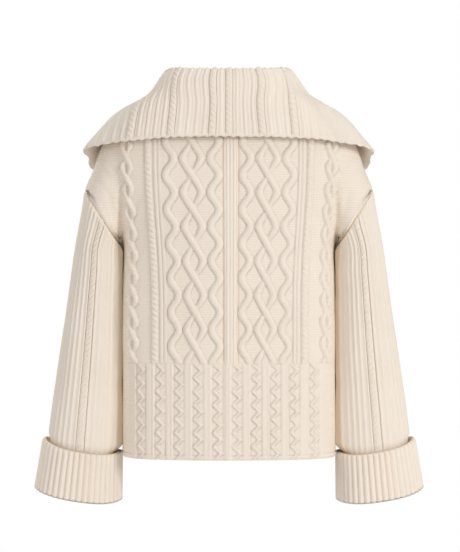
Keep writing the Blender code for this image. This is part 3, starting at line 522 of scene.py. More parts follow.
def band_relief(side, w, z):
    """Zigzag lines with a flat rib and a narrow ridge between them."""
    relief = Relief(w)
    view = -side * w  # to the viewer's right
    top = BAND_TOP - 0.1
    t = (top - z) / (top - HEM_Z) * ZIGZAGS_DOWN
    centres = sorted(hand * c - ZIGZAG_SHIFT for c in ZIGZAG_CENTRES for hand in (-1, 1))
    swing = ZIGZAG_SWING * zigzag(t - 0.25)
    slope = 4 * ZIGZAG_SWING * ZIGZAGS_DOWN / (top - HEM_Z)
    edges = [centres[0] - ZIGZAG_APART, *centres, centres[-1] + ZIGZAG_APART]
    for left, right in zip(edges, edges[1:]):
        flat_from, flat_to = left + 10.2, right - 13.6
        ridge = right - 11.4
        for groove in (left + 9.0, right - 8.7):
            relief.press(0.9 * bell(view - groove, 1.0))
        middle, half = (flat_from + flat_to) / 2, max((flat_to - flat_from) / 2 + 1.2, 1.5)
        relief.lay(1.5 * cord_top((view - middle) / half, 5.0, 0.8), w)
        relief.lay(2.5 * cord_top((view - ridge) / 2.3), w)
    for centre in centres:
        offset = view - centre - swing
        u = np.abs(offset) / ZIGZAG_HALF / math.sqrt(1 + slope**2)
        relief.press(0.5 * bell(u - 1.1, 0.25))
    for centre in centres:
        lay_strand(relief, view - centre - swing, ZIGZAG_HALF, ZIGZAG_HIGH, slope)
    settled = 0.55 + 0.45 * ease((top - z) / 7)
    relief.high = relief.high * settled
    rim = ease((HEM_Z + 6.5 - z) / 2)
    relief.high = relief.high * (1 - 0.5 * rim) + 0.9 * rim - 0.8 * bell(z - HEM_Z - 7.5, 1.2)
    return relief


RIB_SHADE = 1.0  # painted shade: ribbed cloth is drawn browner between its ribs


def rib_profile(r, main, second):
    """Ribs at whole numbers r: a narrow raised one, and a lower, broader one between."""
    f = r - np.round(r)
    between = (r + 0.5) - np.round(r + 0.5)
    ridge = main * np.clip(cord_top(f / 0.25), 0, 1)
    return np.maximum(ridge, second * np.clip(cord_top(between / 0.27), 0, 1))


# Soft creases, as troughs between two points: x, z of each end, width and depth
CREASE = "x0 z0 x1 z1 width depth"
ARMPIT_CREASES = table(
    CREASE,
    (172, -246, 146, -176, 6.5, -2.2),
    (173, -226, 172, -146, 5.5, -3.6),
    (206, -118, 176, -150, 3.2, 2.8),
    (202, -124, 172, -156, 2.6, -2.2),
    (214, -128, 186, -172, 3.6, 1.0),
    (180, -232, 196, -158, 6.0, -1.8),
    (168, -256, 160, -330, 9.0, -1.6),
    (160, -236, 128, -205, 8.0, -1.2),
    (162, -420, 120, -350, 14.0, -1.2),
    (150, -330, 176, -440, 12.0, 1.1),
)


def creases(x, z, rows):
    """Outward movement of the cloth at (x, z) from a table of creases."""
    total = np.zeros(np.broadcast(x, z).shape)
    for crease in rows:
        gap, t = from_segment(x, z, (crease.x0, crease.z0), (crease.x1, crease.z1))
        total += crease.depth * bell(gap, crease.width) * np.sin(math.pi * (0.12 + 0.8 * t))
    return total


CENTRE_FOLD = 8.0  # a soft pleat down the back, just beside the centre


def body_drape(x, z, side):
    """The cloth's slow unevenness: soft long waves that grow towards the hem."""
    hand = np.where(x < 0, -1.0, 1.0)
    fall = ease((-180 - z) / 260)
    waves = np.sin(x / 26.0 + 0.9 * side) * 1.5 + np.sin(x / 15.0 - z / 160.0 + 2.0 * side) * 0.7
    beside = x - CENTRE_FOLD
    waves = waves + 2.6 * ease(-beside / 4) * np.exp(np.minimum(beside, 0) / 30) * (side > 0)
    return waves * fall + creases(np.abs(x), z + 4 * hand, ARMPIT_CREASES)


# ---------------------------------------------------------------- shells


def grid_normals(points, facing):
    """Outward directions on a grid of points, turned to the side of facing."""
    normal = unit(np.cross(np.gradient(points, axis=1), np.gradient(points, axis=0)))
    # Evened out with the neighbours, for the grid is uneven near the ends of the shoulder seams.
    for axis in (0, 1) * 4:
        wide = np.pad(normal, [(int(k == axis),) * 2 for k in range(3)], mode="edge")
        before, after = (np.take(wide, range(k, k + normal.shape[axis]), axis=axis) for k in (0, 2))
        normal = unit(before + 2 * normal + after)
    return normal * math.copysign(1.0, float((normal * facing).sum()))


def quads(rows, columns, round_it=False, closed=False):
    """Corner numbers of the faces of a grid, closed across (round_it) or down (closed) if asked."""
    number = np.arange(rows * columns).reshape(rows, columns)
    number = np.pad(number, ((0, int(closed)), (0, int(round_it))), mode="wrap")
    corners = number[:-1, :-1], number[:-1, 1:], number[1:, 1:], number[1:, :-1]
    return np.stack(corners, -1).reshape(-1, 4)


COARSE = 4  # the plain inside has one point for this many outside


def shell_faces(rows, columns, round_it):
    """Faces of an outer grid, of an inner one that is coarser, and of the rims between them."""
    outer = np.arange(rows * columns).reshape(rows, columns)
    inner_rows = (rows - 1) // COARSE + 1
    inner_columns = columns // COARSE if round_it else (columns - 1) // COARSE + 1
    first = rows * columns
    inner = first + np.arange(inner_rows * inner_columns).reshape(inner_rows, inner_columns)
    faces = quads(rows, columns, round_it).tolist()
    faces += (first + quads(inner_rows, inner_columns, round_it)[:, ::-1]).tolist()
    if round_it:
        outer = np.concatenate([outer, outer[:, :1]], axis=1)
        inner = np.concatenate([inner, inner[:, :1]], axis=1)
    rims = [(outer[0], inner[0], True), (outer[-1], inner[-1], False)]
    if not round_it:
        rims += [(outer[:, 0], inner[:, 0], False), (outer[:, -1], inner[:, -1], True)]
    for fine, coarse, backwards in rims:
        for j in range(len(coarse) - 1):
            run = fine[j * COARSE : (j + 1) * COARSE + 1].tolist()
            ends = [int(coarse[j + 1]), int(coarse[j])]
            faces.append(run[::-1] + ends[::-1] if backwards else run + ends)
    return faces


def mesh_of(name, points, faces):
    """A mesh from points in millimetres."""
    mesh = bpy.data.meshes.new(name)
    mesh.from_pydata(np.reshape(points, (-1, 3)) * MM, [], faces)
    return mesh


def write_facts(mesh, facts):
    for fact, values in facts.items():
        data = mesh.attributes.new(fact, "FLOAT", "POINT").data
        data.foreach_set("value", np.ravel(values).astype(np.float32))


def read(items, key, width=1, kind=np.float32):
    """One property of every item, as an array."""
    values = np.empty(len(items) * width, kind)
    items.foreach_get(key, values)
    return values.reshape(-1, width) if width > 1 else values


INSIDE_FACTS = {"purl": 1.0, "relief": 0.0}


def cloth_piece(name, outer, inner, facts, material, round_it=False):
    """One closed shell. facts holds across, along, purl and relief for every outer point."""
    rows, columns = outer.shape[:2]
    inner_grid = inner[::COARSE, ::COARSE]
    points = np.concatenate([outer.reshape(-1, 3), inner_grid.reshape(-1, 3)])
    mesh = mesh_of(name, points, shell_faces(rows, columns, round_it))
    both = {}
    for fact, values in facts.items():
        values = np.broadcast_to(values, (rows, columns))
        inside = values[::COARSE, ::COARSE]
        if fact in INSIDE_FACTS:
            inside = np.full(inside.shape, INSIDE_FACTS[fact])
        both[fact] = np.concatenate([values.ravel(), inside.ravel()])
    write_facts(mesh, both)
    facing_out(mesh)
    mesh.shade_smooth()
    flatten_torn_faces(mesh)
    crisp_rims(mesh, rows, columns, round_it)
    return placed(name, mesh, material)


def flatten_torn_faces(mesh):
    """Faces that lie across their corners' directions are shaded flat, so that none goes dark."""
    vertices = read(mesh.loops, "vertex_index", kind=np.int32)
    starts, totals = (
        read(mesh.polygons, key, kind=np.int32) for key in ("loop_start", "loop_total")
    )
    own = np.repeat(read(mesh.polygon_normals, "vector", 3), totals, axis=0)
    agree = (read(mesh.vertex_normals, "vector", 3)[vertices] * own).sum(-1)
    mesh.polygons.foreach_set("use_smooth", np.minimum.reduceat(agree, starts) > 0.3)


def crisp_rims(mesh, rows, columns, round_it):
    """The outer grid's edges stay crisp, so that no shade runs along a seam."""
    one, other = read(mesh.edges, "vertices", 2, np.int32).T
    sharp = np.zeros(len(one), bool)
    sides = [(0, 0), (0, rows - 1)] + ([] if round_it else [(1, 0), (1, columns - 1)])
    for axis, at in sides:
        place, next_place = (n // columns if axis == 0 else n % columns for n in (one, other))
        sharp |= (place == at) & (next_place == at)
    sharp &= np.maximum(one, other) < rows * columns
    mesh.attributes.new("sharp_edge", "BOOLEAN", "EDGE").data.foreach_set("value", sharp)


def facing_out(mesh):
    """Turns every face of a closed mesh outward, from the sign of its volume."""
    mesh.calc_loop_triangles()
    corners = read(mesh.loop_triangles, "vertices", 3, np.int32)
    a, b, c = read(mesh.vertices, "co", 3)[corners].astype(float).transpose(1, 0, 2)
    if (a * np.cross(b, c)).sum() < 0:
        mesh.flip_normals()


def placed(name, mesh, material):
    mesh.materials.append(material)
    item = bpy.data.objects.new(name, mesh)
    bpy.context.scene.collection.objects.link(item)
    return item


def facts_of(relief, along, tone):
    return {"across": relief.beside, "along": along, "purl": relief.purl, "relief": tone}


# ---------------------------------------------------------------- back and front


def body_lines(step, side_step):
    """Signed pattern lines from edge to edge, a multiple of COARSE plus one."""
    half = np.concatenate([
        np.arange(0, CENTRE_HALF + 2, step / 2),
        np.arange(CENTRE_HALF + 2, PATTERN_EDGE, step),
        np.linspace(PATTERN_EDGE, PATTERN_EDGE + SIDE_SPAN, int(SIDE_SPAN / side_step) + 1),
    ])
    if (2 * (len(half) - 1)) % COARSE:
        half = np.delete(half, 1)
    return np.concatenate([-half[:0:-1], half])


def seam_dip(distance):
    """A seam: a narrow valley at the edge and a low ridge of turned-in cloth beside it."""
    return -1.3 * bell(distance, 1.9) + 0.7 * bell(distance - 5.5, 2.6)


UNDERARM_BRIDGE = 24.0
PAINTED_CONTACT_SHADE = 4.0  # painted shade: how far down the relief counts where cloth lies against cloth, so the crevice there is drawn brown


def on_half(side, w, x, y, z):
    """Points of the ground of back or front, and the ways they face."""
    base = np.stack([np.where(w < 0, -x, x), side * np.maximum(y, SIDE_SEAM_Y), z], -1)
    return base, grid_normals(base, np.array([0.0, side, 0.0]))


def half_piece(name, side, outer, inner, facts, material):
    """A piece of back or front, kept on its own side of the side seams."""
    for sheet in (outer, inner):
        sheet[..., 1] = side * np.maximum(side * sheet[..., 1], SIDE_SEAM_Y)
    return cloth_piece(name, outer, inner, facts, material)


def body_panel(name, side, step, rows, material):
    c = body_lines(step, 2.3)
    top = line_top(side, np.abs(c))
    t = np.interp(np.linspace(0, 1, rows), (0, 0.88, 1), (0, 0.94, 1))[:, None]
    z = BAND_TOP + t * (top - BAND_TOP)
    c = np.broadcast_to(c, z.shape)
    hand = np.where(c < 0, -1.0, 1.0)
    w = hand * line_width(side, np.abs(c), z)
    if side > 0:
        w = w + BACK_SHIFT * np.clip(1 - np.abs(w) / 200, 0, 1)
    x, y = HALVES[side].at(np.abs(w), z)
    # The cloth bridges the bottom of the fold at the underarm.
    bridge = UNDERARM_BRIDGE * ease((z - UNDERARM[1]) / 3) * bell(z - UNDERARM[1], 34)
    y = np.where(bridge > 0.1, (y + bridge + np.sqrt((y - bridge) ** 2 + 30)) / 2, y)
    base, normal = on_half(side, w, x, y, z)
    relief = body_relief(side, c, w, z)
    edge = np.clip(HALVES[side].width(z) - np.abs(w), 0, None)
    relief.high += seam_dip(edge)
    # Plain where the grid leans over most, at the shoulder's end, so that no face there is torn.
    steep = np.abs(np.gradient(w, axis=0) / np.gradient(z, axis=0))
    relief.high = 0.5 + (relief.high - 0.5) * ease((4.5 - steep) / 3)
    neck = ease((top - z) / 3)
    relief.high = np.where(relief.high > 0, relief.high * neck, relief.high)
    drape = body_drape(base[..., 0], z, side) * ease(edge / 25)
    corner = np.hypot(np.abs(base[..., 0]) - shoulder_x(CORNER_Z), z - CORNER_Z)
    flat = ease((corner - 3) / 14)
    outer = base + normal * ((relief.high + drape) * flat)[..., None]
    inner = base + normal * ((drape - GROUND) * (0.2 + 0.8 * flat))[..., None]
    # Painted shade: the cloth is drawn browner near its edge below the underarm, where the sleeve
    # lies against it.
    tone = relief.high - PAINTED_CONTACT_SHADE * bell(edge, 22) * ease((UNDERARM[1] + 30 - z) / 40)
    return half_piece(name, side, outer, inner, facts_of(relief, -z, tone), material)


def hem_band(name, side, columns, rows, material):
    share = np.linspace(-1, 1, columns)
    z = np.broadcast_to(np.linspace(HEM_Z, BAND_TOP - 0.1, rows)[:, None], (rows, columns))
    width = HALVES[side].width(z)
    w = share * width
    x, y = HALVES[side].at(np.abs(w), z)
    base, normal = on_half(side, w, x, y, z)
    relief = band_relief(side, w, z)
    edge = width - np.abs(w)
    relief.high += seam_dip(edge)
    drape = body_drape(base[..., 0], z, side) * ease(edge / 25)
    # The side seam's foot is rounded off, as the band's corners turn under.
    curl = 5.0 * ease((HEM_Z + 12 - z) / 12) * ease((40 - edge) / 40)
    rolled = 1.6 * ease((HEM_Z + 3 - z) / 3)
    base = base + (0, 0, 1) * curl[..., None]
    outer = base + normal * (relief.high + drape - rolled)[..., None]
    inner = base + normal * (drape - GROUND + rolled * 0.6)[..., None]
    # Painted shade: the band is drawn browner near its side seams, beside the hanging sleeves.
    facts = facts_of(relief, -z, relief.high - PAINTED_CONTACT_SHADE * bell(edge, 22))
    return half_piece(name, side, outer, inner, facts, material)


# ---------------------------------------------------------------- sleeves and cuffs


def oval(angle):
    c, s = np.cos(angle), np.sin(angle)
    power = 2 / ARM_SQUARE
    return np.copysign(np.abs(c) ** power, c), np.copysign(np.abs(s) ** power, s)


def rib_angles(places):
    """Angles round the oval for places counted in ribs, equally far apart at the sleeve's end."""
    fine = np.linspace(0, 2 * math.pi, 2881)
    end = ARM[-1]
    along = path_length(np.stack(oval(fine), -1) * (end.half_width, end.half_depth))
    return np.interp(places / SLEEVE_RIBS * along[-1], along, fine), along[-1]


def arm_point(angle, z, high):
    """A point of the left sleeve. Angle 0 is its outer side and a quarter turn its back."""
    c, s = oval(angle)
    half_width, half_depth = level(ARM, "half_width", z), level(ARM, "half_depth", z)
    power = ARM_SQUARE - 1
    nx = np.copysign(np.abs(c) ** power, c) / half_width
    ny = np.copysign(np.abs(s) ** power, s) / half_depth
    size = np.hypot(nx, ny)
    x = level(ARM, "centre", z) + half_width * c + high * nx / size
    return np.stack(np.broadcast_arrays(x, half_depth * s + high * ny / size, z), -1)


def armhole_top(angle):
    """Where the sleeve ends at the armhole seam."""

    def outside(z):
        return arm_point(angle, z, 0.0)[:, 0] > armhole_x(z) + SEAM_GAP / 2

    return highest(len(angle), UNDERARM[1] - 8.0, CORNER_Z + 8.0, 22, outside)


def tilted(rim, angle):
    c, s = oval(angle)
    return rim.z + rim.lift * c - rim.sag * s * s


def sleeve_places():
    """Places round the sleeve in ribs, from its inner side, closer together at the rope."""
    plain = np.arange(0, SLEEVE_RIBS, 1 / 6)
    rope = np.arange(SLEEVE_ROPE_RIB - 1, SLEEVE_ROPE_RIB + 1, 1 / 16)
    apart = np.abs(plain - SLEEVE_ROPE_RIB) >= 1 - 1e-9
    keep = plain[apart & (plain != SLEEVE_ROPE_RIB - 1)]
    places = np.sort(np.concatenate([keep, rope]))
    places = places[: len(places) // COARSE * COARSE]
    start = np.searchsorted(places, SLEEVE_RIBS / 2)
    return np.concatenate([places[start:], places[:start]])


def sleeve_relief(places, z, girth, lean):
    across = np.broadcast_to(places * girth / SLEEVE_RIBS, z.shape)
    relief = Relief(across)
    q = (places - SLEEVE_ROPE_RIB) * girth / SLEEVE_RIBS
    ribs = rib_profile(places, 3.0, 1.4)
    ribs = np.broadcast_to(np.where(np.abs(q) < SLEEVE_ROPE_BORDER, 0.0, ribs), z.shape)
    relief.press(0.4 * (np.abs(q) > 7.0) + 0 * z)
    relief.lay(np.where(ribs > 0.15, ribs, HIDDEN), across)
    wide = np.broadcast_to(q, z.shape)
    lay_rope(relief, wide, z, lean, SLEEVE_ROPE_HALF, SLEEVE_ROPE_TWIST, SLEEVE_ROPE_SLANT)
    return relief


SLEEVE_FOLDS = table(
    CREASE,
    (20, -300, 40, -250, 8.0, -1.4),
    (12, -340, 36, -300, 9.0, -1.2),
    (8, -470, 30, -500, 12.0, -1.0),
    (24, -420, 44, -400, 10.0, 0.9),
)


def against_body(angle, z, from_ends):
    """How much of the sleeve lies against the body, how far it is pushed, and what is near it."""
    ground = arm_point(angle, z, 0.0)
    x, y = ground[..., 0], ground[..., 1]
    share = np.clip(np.abs(y) / level(TORSO, "back", z), 0, 1)
    wall = level(TORSO, "half_width", z) * (1 - share**TORSO_SQUARE) ** (1 / TORSO_SQUARE)
    inward = (level(ARM, "centre", z) - x) / level(ARM, "half_width", z)
    pressed = ease((49 - np.abs(y)) / 26) * ease(inward / 0.6)
    pressed = pressed * ease(from_ends / 45)
    near = ease((46 - np.abs(y)) / 24) * (inward > 0)
    return pressed, pressed * np.clip(x - wall - 0.2, 0, 13), near


def sleeve(name, hand, rows, material):
    places = sleeve_places()
    angle, girth = rib_angles(places)
    top = armhole_top(angle)
    end = tilted(CUFF_TOP, angle) - CUFF_POCKET + SEAM_GAP
    t = np.linspace(0, 1, rows)[:, None]
    z = end + t * (top - end)
    angle = np.broadcast_to(angle, z.shape)
    places = np.broadcast_to(places, z.shape)
    # Both ropes twist the same way to the eye, so the mirrored sleeve needs the other lean.
    relief = sleeve_relief(places, z, girth, hand)
    relief.high = relief.high * (0.3 + 0.7 * ease((top - z) / 9)) + seam_dip(top - z)
    drape = creases(np.abs(places - 3), z, SLEEVE_FOLDS) + 0.5 * np.sin(z / 37.0 + places)
    drape = drape * ease((top - z) / 30) * ease((z - end) / 60)
    tucked = ease((tilted(CUFF_TOP, angle) + 14 - z) / 18)
    relief.high = relief.high * (1 - 0.85 * tucked)
    outer_side = np.minimum(places, SLEEVE_RIBS - places)
    drape = drape - 2.2 * tucked - 2.6 * bell(outer_side, 4.5) * ease((top - z) / 4)
    from_ends = np.minimum(3 * (top - z), 2.2 * (z - end - 8))
    pressed, shift, inner_side = against_body(angle, z, from_ends)
    outer = arm_point(angle, z, relief.high * (1 - 0.75 * pressed) + drape)
    inner = arm_point(angle, z, drape - GROUND + 1.2 * tucked)
    for sheet in (outer, inner):
        sheet[..., 0] -= shift
        sheet[..., 0] *= hand
    # Painted shade: the sleeve is drawn browner between its ribs and on its inner side, where it
    # lies against the body.
    tone = relief.high - RIB_SHADE - PAINTED_CONTACT_SHADE * inner_side * ease((top - z + 4) / 20)
    return cloth_piece(name, outer, inner, facts_of(relief, -z, tone), material, round_it=True)


def cuff_ring(angle, down, high):
    """A point of the left cuff's turned-back layer, down from its top edge."""
    c, s = oval(angle)
    share = down / CUFF[1].down
    centre, half_width, half_depth = (
        first + share * (last - first) for first, last in zip(CUFF[0][1:], CUFF[1][1:])
    )
    top, fold = tilted(CUFF_TOP, angle), tilted(CUFF_FOLD, angle)
    x = centre + (half_width + high) * c
    return np.stack(np.broadcast_arrays(x, (half_depth + high) * s, top + share * (fold - top)), -1)


def cuff_path(angle, places):
    """Rings round the folded cuff: up its outside, over the rim, into the gap, and down inside."""
    down_total = CUFF[1].down
    across_rib = (places * CUFF_RIBS / SLEEVE_RIBS + 0.5) % 1 * 2 / 0.8 - 1.25
    wale = CUFF_RIB_HIGH * np.clip(cord_top(across_rib), 0, 1)
    rings, highs = [], []

    def ring(down, high, relief):
        rings.append(cuff_ring(angle, down, high + wale * relief))
        highs.append(wale * relief)

    for turn in np.linspace(-0.5, 0.45, 10) * math.pi:
        out = math.cos(turn)
        down = down_total - 4.0 + min(0.0, 5.0 * math.sin(turn))
        ring(down, -5.0 + 5.0 * out, max(0.0, out) ** 0.5)
        if turn >= 0:
            break
    for down in np.linspace(down_total - 8, 4.5, 40):
        ring(down, 0.0, 1.0)
    ring(3.4, 0.3, 0.75)
    for turn in np.linspace(0.15, 1.0, 6) * math.pi:
        out = math.cos(turn)
        ring(2.0 - 2.0 * math.sin(turn), -1.6 + 2.2 * out, 0.35 * max(0.0, out))
    ring(CUFF_POCKET, -3.9, 0.0)
    rings = np.array(rings)
    # The inner layer is the end of the sleeve.
    pocket = tilted(CUFF_TOP, angle) - CUFF_POCKET
    inside = arm_point(angle, pocket, -GROUND)
    floor = cuff_ring(angle, down_total - 8.0, -10.0)
    within = [inside + (floor - inside) * share for share in np.linspace(0, 1, 7)]
    return np.concatenate([rings, np.array(within)]), np.array(highs + [0 * wale] * 7)


def cuff(name, hand, material):
    places = sleeve_places()
    angle, girth = rib_angles(places)
    points, high = cuff_path(angle, places)
    points = points * (hand, 1, 1)
    rows, columns = points.shape[:2]
    mesh = mesh_of(name, points, quads(rows, columns, True, True).tolist())
    across = np.broadcast_to(places * girth / SLEEVE_RIBS, (rows, columns))
    facts = {
        "across": across,
        "along": path_length(points),
        "purl": (high < 0.3) * 1.0,
        # Painted shade: browner between the ribs.
        "relief": high - RIB_SHADE,
    }
    write_facts(mesh, facts)
    facing_out(mesh)
    mesh.shade_smooth()
    return placed(name, mesh, material)


# ---------------------------------------------------------------- the collar

COLLAR = table(
    "place side seam_x crest middle edge roll sink",
    (0.00, 1, 0.0, (0, 86, 23.5), (0, 112, -26), (0, 124, -82), 1.0, 0.0),
    (0.16, 1, 40.0, (54, 82, 24.5), (72, 108, -26), (92, 120, -83), 1.0, 0.0),
    (0.32, 1, 70.0, (85, 61, 27), (128, 87, -28), (170, 97, -90), 1.0, 5.0),
    (0.48, 1, 86.0, (97, 18, 28), (178, 29, -41), (236, 36, -102), 1.0, 9.0),
    (0.55, -1, 86.5, (99, -8, 25), (180, -6, -41), (231, -8, -110), 1.0, 8.0),
    (0.62, -1, 83.0, (97, -34, 19), (176, -40, -43), (232, -52, -121), 0.9, 5.0),
    (0.73, -1, 74.0, (91, -78, 4), (148, -96, -64), (198, -98, -152), 0.8, 3.0),
    (0.85, -1, 58.0, (72, -112, -28), (120, -124, -96), (158, -124, -186), 0.6, 0.0),
    (1.00, -1, 34.0, (44, -124, -82), (80, -138, -142), (112, -142, -218), 0.4, 0.0),
)
COLLAR_ROWS = (0.0, 0.17, 0.24, 0.31, 0.45, 0.62, 1.0)
CREST_ROW = 0.24
SINK_ROW = 0.45
# The ribs are closer together at the front edge of the fold than at the edge of the fall: which
# rib ends at which place of that edge
EDGE_RIBS = (0, 4, 8, 12, 17, 21, 30)
EDGE_PLACES = (0.0, 0.093, 0.187, 0.295, 0.45, 0.61, 1.0)


def collar_controls():
    """The points of every station: seam, into the fold, crest, out of it, sink, middle, edge."""
    rows = []
    plain = [row for row in COLLAR_ROWS if row != SINK_ROW]
    for station in COLLAR:
        z = float(neck_z(np.array(station.seam_x), station.side))
        y = station.side * float(depth(np.array([station.seam_x]), z, station.side)[0])
        seam = np.array([station.seam_x, y, z + COLLAR_SEAT])
        crest, edge = np.array(station.crest, float), np.array(station.edge, float)
        out = unit((edge - seam) * (1, 1, 0))
        into = crest + station.roll * (-7.0 * out + (0, 0, -12.0))
        off = crest + station.roll * (9.0 * out + (0, 0, -9.0))
        line = [seam, into, crest, off, np.array(station.middle, float), edge]
        sink = curve(plain, np.array(line), SINK_ROW) - 0.7 * station.sink * (out + (0, 0, 1))
        rows.append([*line[:4], sink, *line[4:]])
    half = np.array(rows)
    places = [station.place for station in COLLAR]
    mirrored = half[:0:-1] * (-1, 1, 1)
    return [-p for p in places[:0:-1]] + places, np.concatenate([mirrored, half])


COLLAR_PLACES, COLLAR_POINTS = collar_controls()


def collar_surface(places, downs):
    """The collar's hidden side. places go round the neck, and downs from the seam to the edge."""
    places, downs = np.broadcast_arrays(places, downs)
    kinds = np.eye(len(COLLAR_PLACES)), np.eye(len(COLLAR_ROWS))
    around = curve(COLLAR_PLACES, kinds[0], places.ravel())
    along = curve(COLLAR_ROWS, kinds[1], downs.ravel())
    points = np.einsum("nc,nr,crj->nj", around, along, COLLAR_POINTS, optimize=True)
    return points.reshape(*places.shape, 3)


def crest_length():
    """How far each place lies along the crest of the fold, as a share of half of it."""
    fine = np.linspace(0, 1, 401)
    along = path_length(collar_surface(fine, CREST_ROW))
    return fine, along / along[-1]


CREST = crest_length()


def rib_lines(ribs, downs):
    """Where each rib runs: straight down inside the fold, and then fanned out over the fall."""
    crest = np.interp(np.abs(ribs) / COLLAR_RIBS_HALF, CREST[1], CREST[0])
    edge = curve(EDGE_RIBS, EDGE_PLACES, np.abs(ribs))
    share = np.maximum(0.0, (downs - CREST_ROW) / (1 - CREST_ROW)) ** 0.6
    return np.sign(ribs) * (crest + share * (edge - crest))


def collar_columns():
    """Rib numbers of the columns, closer together on the ropes."""
    fine = np.linspace(-COLLAR_RIBS_HALF, COLLAR_RIBS_HALF, 6001)
    closeness = np.full(len(fine), 10.0)
    for rope in COLLAR_ROPES:
        closeness += 6.0 * (np.abs(fine - rope) < 0.55)
    total = np.concatenate([[0], np.cumsum((closeness[1:] + closeness[:-1]) / 2 * np.diff(fine))])
    count = int(total[-1]) // COARSE * COARSE + 1
    return np.interp(np.linspace(0, total[-1], count), total, fine)


def collar(name, rows, material):
    ribs = collar_columns()
    even = np.linspace(0, 1, 400)
    path = path_length(collar_surface(0.0, even))
    downs = np.interp(np.linspace(0, path[-1], rows), path, even)[:, None]
    places = rib_lines(ribs[None, :], downs)
    base = collar_surface(places, downs)
    around = np.gradient(base, axis=1)
    way = unit(np.gradient(base, axis=0))
    normal = unit(np.cross(around, way))
    length = path_length(base)
    numbers = np.broadcast_to(ribs, length.shape)
    # How wide one rib is, measured across it
    level_step = around - way * (around * way).sum(-1, keepdims=True)
    pitch = np.linalg.norm(level_step, axis=-1) / np.maximum(np.gradient(numbers, axis=1), 1e-6)
    relief = Relief(numbers * pitch)
    ropes = np.array(COLLAR_ROPES)
    nearest = ropes[np.abs(numbers[..., None] - ropes).argmin(-1)]
    off = numbers - nearest
    profile = np.where(np.abs(off) < 0.5, 0.0, rib_profile(numbers, COLLAR_RIB_HIGH, 1.5))
    relief.lay(np.where(profile > 0.12, profile, HIDDEN), numbers * pitch)
    lay_rope(relief, off * COLLAR_PITCH, -length, 1.0, *COLLAR_ROPE)
    above = np.maximum(relief.high - COLLAR_RIB_HIGH, 0)
    relief.high = relief.high - 0.4 * above
    # The free edges are rounded off, with a narrow bound rim.
    to_edge = length[-1] - length
    side_gap = (COLLAR_RIBS_HALF - np.abs(numbers)) * pitch
    lip = np.minimum(to_edge, side_gap)
    rim = ease((5.5 - to_edge) / 2)
    high = relief.high * (1 - 0.72 * rim) + 0.7 * rim - 0.5 * bell(to_edge - 6.4, 1.1)
    high = high * (0.25 + 0.75 * ease(length / 10)) * (0.3 + 0.7 * ease(side_gap / 4))
    half = (COLLAR_THICK + high) / 2
    round_off = 0.25 + 0.75 * np.sqrt(np.clip(1 - (1 - np.clip(lip / 2.6, 0, 1)) ** 2, 0, 1))
    # The fall is not quite even: it lifts and dips a little along its edge.
    fall = ease((length - 60) / 90)
    lift = fall * (1.2 * np.sin(places * 19.0 + 0.6) + 0.8 * np.sin(places * 43.0))
    lift = lift - 8.0 * ease((60 - to_edge) / 60) * bell(places, 0.27)
    lift = lift - 2.5 * bell(np.abs(places) - 0.47, 0.13) * bell(downs - 0.8, 0.15)
    scallop = 1.1 * np.cos(2 * math.pi * numbers) * ease((7 - to_edge) / 7)
    base = base + (0, 0, 1) * scallop[..., None]
    outer, inner = (
        base + normal * (half + face * half * round_off + lift)[..., None] for face in (1, -1)
    )
    # Painted shade: browner between the ribs.
    return cloth_piece(name, outer, inner, facts_of(relief, length, high - RIB_SHADE), material)


# ---------------------------------------------------------------- the zip

TAPE_WIDE = 9.0
TAPE_THICK = 1.2
TAPE_GAP = 0.6
TAPE_INSET = 1.5
TOOTH = (3.0, 1.5, 2.6)  # across the tape, along it, and through it
TOOTH_PITCH = 2.9
SLIDER_Z = -161.0
SLIDER_OFF = 0.8
SLIDER_DEEP = 2.6


def outside_of_front(z):
    """The way the front faces near its middle."""
    step = 2.0
    near, far = (float(depth(np.array(2.0), z + s, -1)) for s in (-step, step))
    return unit(np.array([0.0, -2 * step, near - far]))


def tape_rows():
    """Rows along the left tape: its sewn edge, its free edge, and the way its outside faces."""
    rows = []
    for share in np.linspace(0.14, 0.9, 26):
        z = SLIT_FOOT[1] + share * (SLIT_TOP[1] - SLIT_FOOT[1])
        x = SLIT_FOOT[0] + share * (SLIT_TOP[0] - SLIT_FOOT[0])
        free = max(0.6, x - TAPE_WIDE)
        y_sewn, y_free = (float(depth(np.array(at), z, -1)) - TAPE_INSET for at in (x, free))
        sewn = np.array([x - TAPE_GAP, -y_sewn, z])
        rows.append((sewn, np.array([free, -y_free, z]), outside_of_front(z)))
    downs = np.linspace(0.1, 0.985, 70)
    inner_line, edge_line = (collar_surface(place, downs) for place in (0.985, 1.0))
    down_way = np.gradient(edge_line, axis=0)
    for inside, edge_point, ahead in zip(inner_line, edge_line, down_way):
        across = unit(edge_point - inside)
        normal = unit(np.cross(across, ahead))
        edge = edge_point + normal * COLLAR_THICK / 2
        rows.append((edge + 2.5 * TAPE_GAP * across, edge + TAPE_WIDE * across, -normal))
    return rows


TAPE = [np.array(line) for line in zip(*tape_rows())]


def mended(mesh, merge=False):
    """Turns the faces outward, and first joins corners that meet if asked."""
    work = bmesh.new()
    work.from_mesh(mesh)
    if merge:
        bmesh.ops.remove_doubles(work, verts=work.verts, dist=1e-6)
    bmesh.ops.recalc_face_normals(work, faces=work.faces)
    work.to_mesh(mesh)
    work.free()


def softened(mesh, degrees):
    """Smooth shading, apart from edges that turn further than this."""
    mesh.shade_smooth()
    mesh.set_sharp_from_angle(angle=math.radians(degrees))


def final_mesh(item):
    """The mesh that an object and its modifiers make, without the object."""
    bpy.context.view_layer.update()
    shaped = item.evaluated_get(bpy.context.evaluated_depsgraph_get())
    mesh = bpy.data.meshes.new_from_object(shaped)
    bpy.data.objects.remove(item)
    return mesh


def bar_faces(first, rings):
    """Faces of a closed four-sided bar whose rings of corners are numbered from first."""
    faces = []
    for ring in range(first, first + 4 * rings - 4, 4):
        for k in range(4):
            n = (k + 1) % 4
            faces.append([ring + k, ring + n, ring + 4 + n, ring + 4 + k])
    last = first + 4 * rings - 4
    return faces + [[first + k for k in (3, 2, 1, 0)], [last + k for k in range(4)]]


